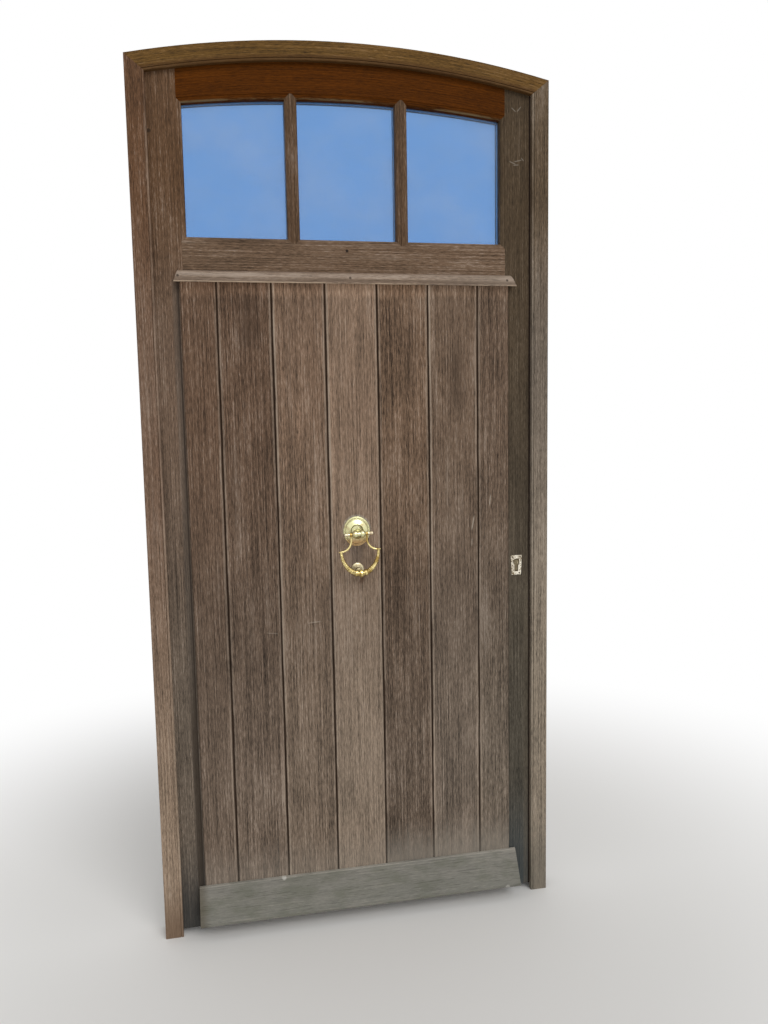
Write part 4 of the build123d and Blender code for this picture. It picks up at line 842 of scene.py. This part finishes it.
# %% Rope strands on the bow
CARVED = ((5, 18), (34, 49), (64, 70), (110, 116), (131, 146), (162, 175))  # turns in degrees
STRAND_STEP = 3.2
STRAND_LEAN = math.radians(33)
strand_places = []
for first, last in CARVED:
    count = round((last - first) / STRAND_STEP)
    for step in range(count + 1):
        turn = first + (last - first) * step / count
        centre, radius = bow_point(turn)
        heading = (bow_point(turn + 0.5)[0] - bow_point(turn - 0.5)[0]).to_track_quat("Z", "Y")
        size = Matrix.Diagonal((radius, radius / math.cos(STRAND_LEAN), radius, 1))
        lean = Matrix.Rotation(STRAND_LEAN, 4, "X")
        place = TILT @ Matrix.Translation(centre) @ heading.to_matrix().to_4x4() @ lean @ size
        strand_places.append(place)
placed_copies("bow_rope", strand, strand_places, "knocker", "knocker_brass", ring_brass)

# %% Rope edge on the rose
LUMP_HALVES = (0.0024, 0.0012, 0.0013)
LUMP_COUNT = 56
LUMP_LEAN = math.radians(38)
LUMP_Y = -0.0218
EDGE_SHARE = 0.91
ball = bmesh.new()
bmesh.ops.create_icosphere(ball, subdivisions=2, radius=1)
bmesh.ops.scale(ball, vec=LUMP_HALVES, verts=ball.verts)
lump = form_from(ball, "lump")

edge_x, edge_z = ROSE_HALF_WIDTH * EDGE_SHARE, ROSE_HALF_HEIGHT * EDGE_SHARE
lump_places = []
for number in range(LUMP_COUNT):
    angle = 2 * math.pi * number / LUMP_COUNT
    cosine, sine = math.cos(angle), math.sin(angle)
    way = math.atan2(edge_z * cosine, -edge_x * sine)
    stand = Matrix.Translation((KNOCKER_X + edge_x * cosine, LUMP_Y, KNOCKER_Z + edge_z * sine))
    lump_places.append(TILT @ stand @ Matrix.Rotation(-way - LUMP_LEAN, 4, "Y"))
placed_copies("rose_rope", lump, lump_places, "leaf", "rose_brass", rose_brass)

# %% [markdown]
# ## Screws
#
# Every hinge leaf, plate and faceplate is held by countersunk screws, and the CAD
# model leaves their holes open. One screw is drawn out of a circle: its edge is
# extruded down step by step to the point, and its face is inset, pinched to a cross
# and pushed in for the driver. The same screw, at half size and in a duller metal,
# holds the outer plate.

# %% One screw
HEAD_RADIUS = 0.0035
SCREW_STEPS = ((0.0038, 0.0001), (0.0019, 0.0021), (0.0018, 0.0098), (0.0002, 0.0035))
FACE_SHARE, CROSS_INSET, CROSS_DEPTH, CROSS_WAIST = 0.6, 0.0011, 0.0013, 0.32
HEAD_SINK = 0.00005


def screw_form(name, size=1.0):
    """A countersunk screw that points down, its face just under Z = 0."""
    shape = bmesh.new()
    bmesh.ops.create_circle(shape, cap_ends=True, segments=24, radius=HEAD_RADIUS)
    face = list(shape.faces)[0]
    edges, radius = face.edges[:], HEAD_RADIUS
    for next_radius, drop in SCREW_STEPS:
        made = bmesh.ops.extrude_edge_only(shape, edges=edges)["geom"]
        verts = [item for item in made if isinstance(item, bmesh.types.BMVert)]
        share = next_radius / radius
        bmesh.ops.scale(shape, vec=(share, share, 1), verts=verts)
        bmesh.ops.translate(shape, vec=(0, 0, -drop), verts=verts)
        edges = [edge for edge in shape.edges if edge.is_boundary]
        radius = next_radius
    bmesh.ops.holes_fill(shape, edges=edges)
    bmesh.ops.inset_region(shape, faces=[face], thickness=CROSS_INSET)
    for vert in face.verts:
        arm = math.cos(2 * math.atan2(vert.co.y, vert.co.x)) ** 6
        vert.co.xy *= CROSS_WAIST + (1 - CROSS_WAIST) * arm
    pushed = bmesh.ops.extrude_discrete_faces(shape, faces=[face])["faces"][0]
    bmesh.ops.scale(shape, vec=(FACE_SHARE, FACE_SHARE, 1), verts=pushed.verts)
    bmesh.ops.translate(shape, vec=(0, 0, -CROSS_DEPTH), verts=pushed.verts)
    whole = Matrix.Scale(size, 4) @ Matrix.Translation((0, 0, -HEAD_SINK))
    bmesh.ops.transform(shape, matrix=whole, verts=shape.verts)
    return form_from(shape, name, smooth=False)


full_screw, small_screw = screw_form("full_screw"), screw_form("small_screw", 0.5)

# %% Screw metals, and a way to drive screws
screw_steel = worn_metal("screw steel", (0.5, 0.47, 0.4), (0.2, 0.15, 0.1), 0.3, 0.35)
screw_brass = worn_metal("screw brass", (0.6, 0.45, 0.22), (0.25, 0.17, 0.08), 0.3, 0.35)
screw_dark = worn_metal("dull screws", (0.28, 0.21, 0.12), (0.09, 0.065, 0.04), 0.3, 0.45)


def drive(name, form, heads, heading, body, slot, finish):
    """Screws with their heads at points and their shanks along a heading."""
    aim = (-Vector(heading)).to_track_quat("Z", "Y").to_matrix().to_4x4()
    places = []
    for number, head in enumerate(heads):
        stop = Matrix.Rotation(math.radians(20 + 37 * number), 4, "Z")
        places.append(Matrix.Translation(head) @ aim @ stop)
    placed_copies(name, form, places, body, slot, finish)


print("screw metals:", [metal.material.name for metal in (screw_steel, screw_brass, screw_dark)])

# %% Screws of the hinges
SCREW_ROWS = ((0.0086, -0.036), (0.0182, 0.0), (0.0086, 0.036))  # Y, height from the middle
FRAME_EDGE_X, LEAF_EDGE_X = -0.469, -0.466
for number in HINGES:
    pin_low, pin_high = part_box(f"hinge_pin_{number}")
    middle = (pin_low.z + pin_high.z) / 2
    for half, edge_of_half, way in (("frame", FRAME_EDGE_X, -1), ("leaf", LEAF_EDGE_X, 1)):
        heads = [(edge_of_half, y, middle + up) for y, up in SCREW_ROWS]
        drive(f"hinge_{half}_screws_{number}", full_screw, heads, (way, 0, 0), half,
              "hinge_steel", screw_steel)

# %% Screws of the plates
LOCK_X, LOCK_Y = 0.42, 0.0065  # the upright middle lines of the plates and of the edge


def near_ends(node, inset):
    """Two heights near the ends of an upright plate."""
    low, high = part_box(node)
    return low.z + inset, high.z - inset


strike_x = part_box("strike_plate")[0].x
strike_heads = [(strike_x, LOCK_Y, z) for z in near_ends("strike_plate", 0.008)]
drive("strike_screws", full_screw, strike_heads, (1, 0, 0), "frame", "lock_steel", screw_steel)
faceplate_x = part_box("lock_faceplate")[1].x
faceplate_heads = [(faceplate_x, LOCK_Y, z) for z in near_ends("lock_faceplate", 0.009)]
drive("faceplate_screws", full_screw, faceplate_heads, (-1, 0, 0), "leaf", "lock_steel",
      screw_steel)
inside_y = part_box("inside_plate")[1].y
inside_heads = [(LOCK_X, inside_y, z) for z in near_ends("inside_plate", 0.009)]
drive("inside_plate_screws", full_screw, inside_heads, (0, -1, 0), "leaf", "plate_brass",
      screw_brass)

# %% Screws of the outer plate
PLATE_ROWS = ((0.0045, 0.008), (-0.0045, 0.0105))  # height from an end, distance from LOCK_X
outer_low, outer_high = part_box("outer_plate")
outer_heads = [
    (LOCK_X + side * apart, outer_low.y, (outer_low.z if inset > 0 else outer_high.z) + inset)
    for inset, apart in PLATE_ROWS for side in (-1, 1)
]
drive("outer_plate_screws", small_screw, outer_heads, (0, 1, 0), "leaf", "plate_brass",
      screw_dark)

# %% [markdown]
# ## Camera
#
# The photograph was taken from the left of the door and a little above its
# middle, by a camera that leaned and turned a few degrees. Its place and its three
# turns were worked out from the straight edges of the door. A camera looks along
# its own -Z, so its axes are the rows of the turn that takes the world to the
# picture.

# %% The camera
FOCAL_PIXELS, PICTURE_HEIGHT = 850.0, 1024.0
CAMERA_PLACE = (-0.351, -2.0785, 1.2755)
CAMERA_ANGLES = (6.47, -11.54, -2.31)

camera = bpy.data.cameras.new("camera")
camera.lens = FOCAL_PIXELS * camera.sensor_width / PICTURE_HEIGHT
camera_object = bpy.data.objects.new("camera", camera)
scene.collection.objects.link(camera_object)
tip, turn, lean = [math.radians(angle) for angle in CAMERA_ANGLES]
eye_level = Matrix(((1, 0, 0), (0, 0, -1), (0, 1, 0)))
turned = Matrix.Rotation(turn, 3, "Y") @ Matrix.Rotation(tip, 3, "X")
right, down, forward = Matrix.Rotation(lean, 3, "Z") @ turned @ eye_level
axes = Matrix((right, -down, -forward)).transposed()
camera_object.matrix_world = Matrix.Translation(CAMERA_PLACE) @ axes.to_4x4()
scene.camera = camera_object
print("lens in mm:", round(camera.lens, 2))

# %% [markdown]
# ## Floor, background and light
#
# A pale floor takes the door's shadow and fades to white with distance, so no
# horizon cuts the picture. The world lights the door evenly, and shows itself as
# white to the camera, to metal and through glass. One broad lamp, high and a little
# to the right, draws the shadows under the arch, the moulding and the edges of
# boards.

# %% Floor
FLOOR_REACH = 15.0
WHITE = (1.0, 1.0, 1.0)
floor_mesh = bpy.data.meshes.new("floor")
sheet = bmesh.new()
bmesh.ops.create_grid(sheet, x_segments=1, y_segments=1, size=FLOOR_REACH)
sheet.to_mesh(floor_mesh)
sheet.free()
floor = bpy.data.objects.new("floor", floor_mesh)
scene.collection.objects.link(floor)
pale_floor = Finish("pale floor", {"Base Color": (0.8, 0.79, 0.77), "Roughness": 0.8})
away = (pale_floor.x * pale_floor.x + pale_floor.y * pale_floor.y).maths("SQRT")
white = pale_floor.node("ShaderNodeEmission", {}, {"Color": WHITE, "Strength": 1.0})
lit = Wire(pale_floor, pale_floor.shader.outputs["BSDF"])
seen = pale_floor.node("ShaderNodeLightPath", out="Is Camera Ray")
fading = {0: away.fade(0.7, 2.2) * seen, 1: lit, 2: white}
pale_floor.surface(pale_floor.node("ShaderNodeMixShader", {}, fading))
floor_mesh.materials.append(pale_floor.material)
print("floor reaches", FLOOR_REACH, "m each way")

# %% World
WORLD_LIGHT = 0.61
world = bpy.data.worlds.new("studio")
world.use_nodes = True
scene.world = world
studio = Net(world.node_tree)
to_camera, to_metal, through_glass = [
    studio.node("ShaderNodeLightPath", out=ray)
    for ray in ("Is Camera Ray", "Is Glossy Ray", "Is Transmission Ray")
]
shown = to_camera.maths("MAXIMUM", to_metal).maths("MAXIMUM", through_glass)
strength = studio.node("ShaderNodeMapRange", {},
                       {"Value": shown, "To Min": WORLD_LIGHT, "To Max": 1.0})
background = studio.tree.nodes["Background"]
studio.put(background.inputs["Color"], WHITE)
studio.put(background.inputs["Strength"], strength)
print("world", WORLD_LIGHT)

# %% Lamp
LAMP_HEADING = (-0.28, 0.8, -0.66)
lamp = bpy.data.lights.new("high lamp", "SUN")
lamp.energy = 1.1
lamp.angle = math.radians(34)
lamp_object = bpy.data.objects.new("high lamp", lamp)
scene.collection.objects.link(lamp_object)
lamp_object.rotation_euler = Vector(LAMP_HEADING).to_track_quat("-Z", "Y").to_euler()
scene.view_settings.view_transform = "Standard"
print("lamp", lamp.energy)
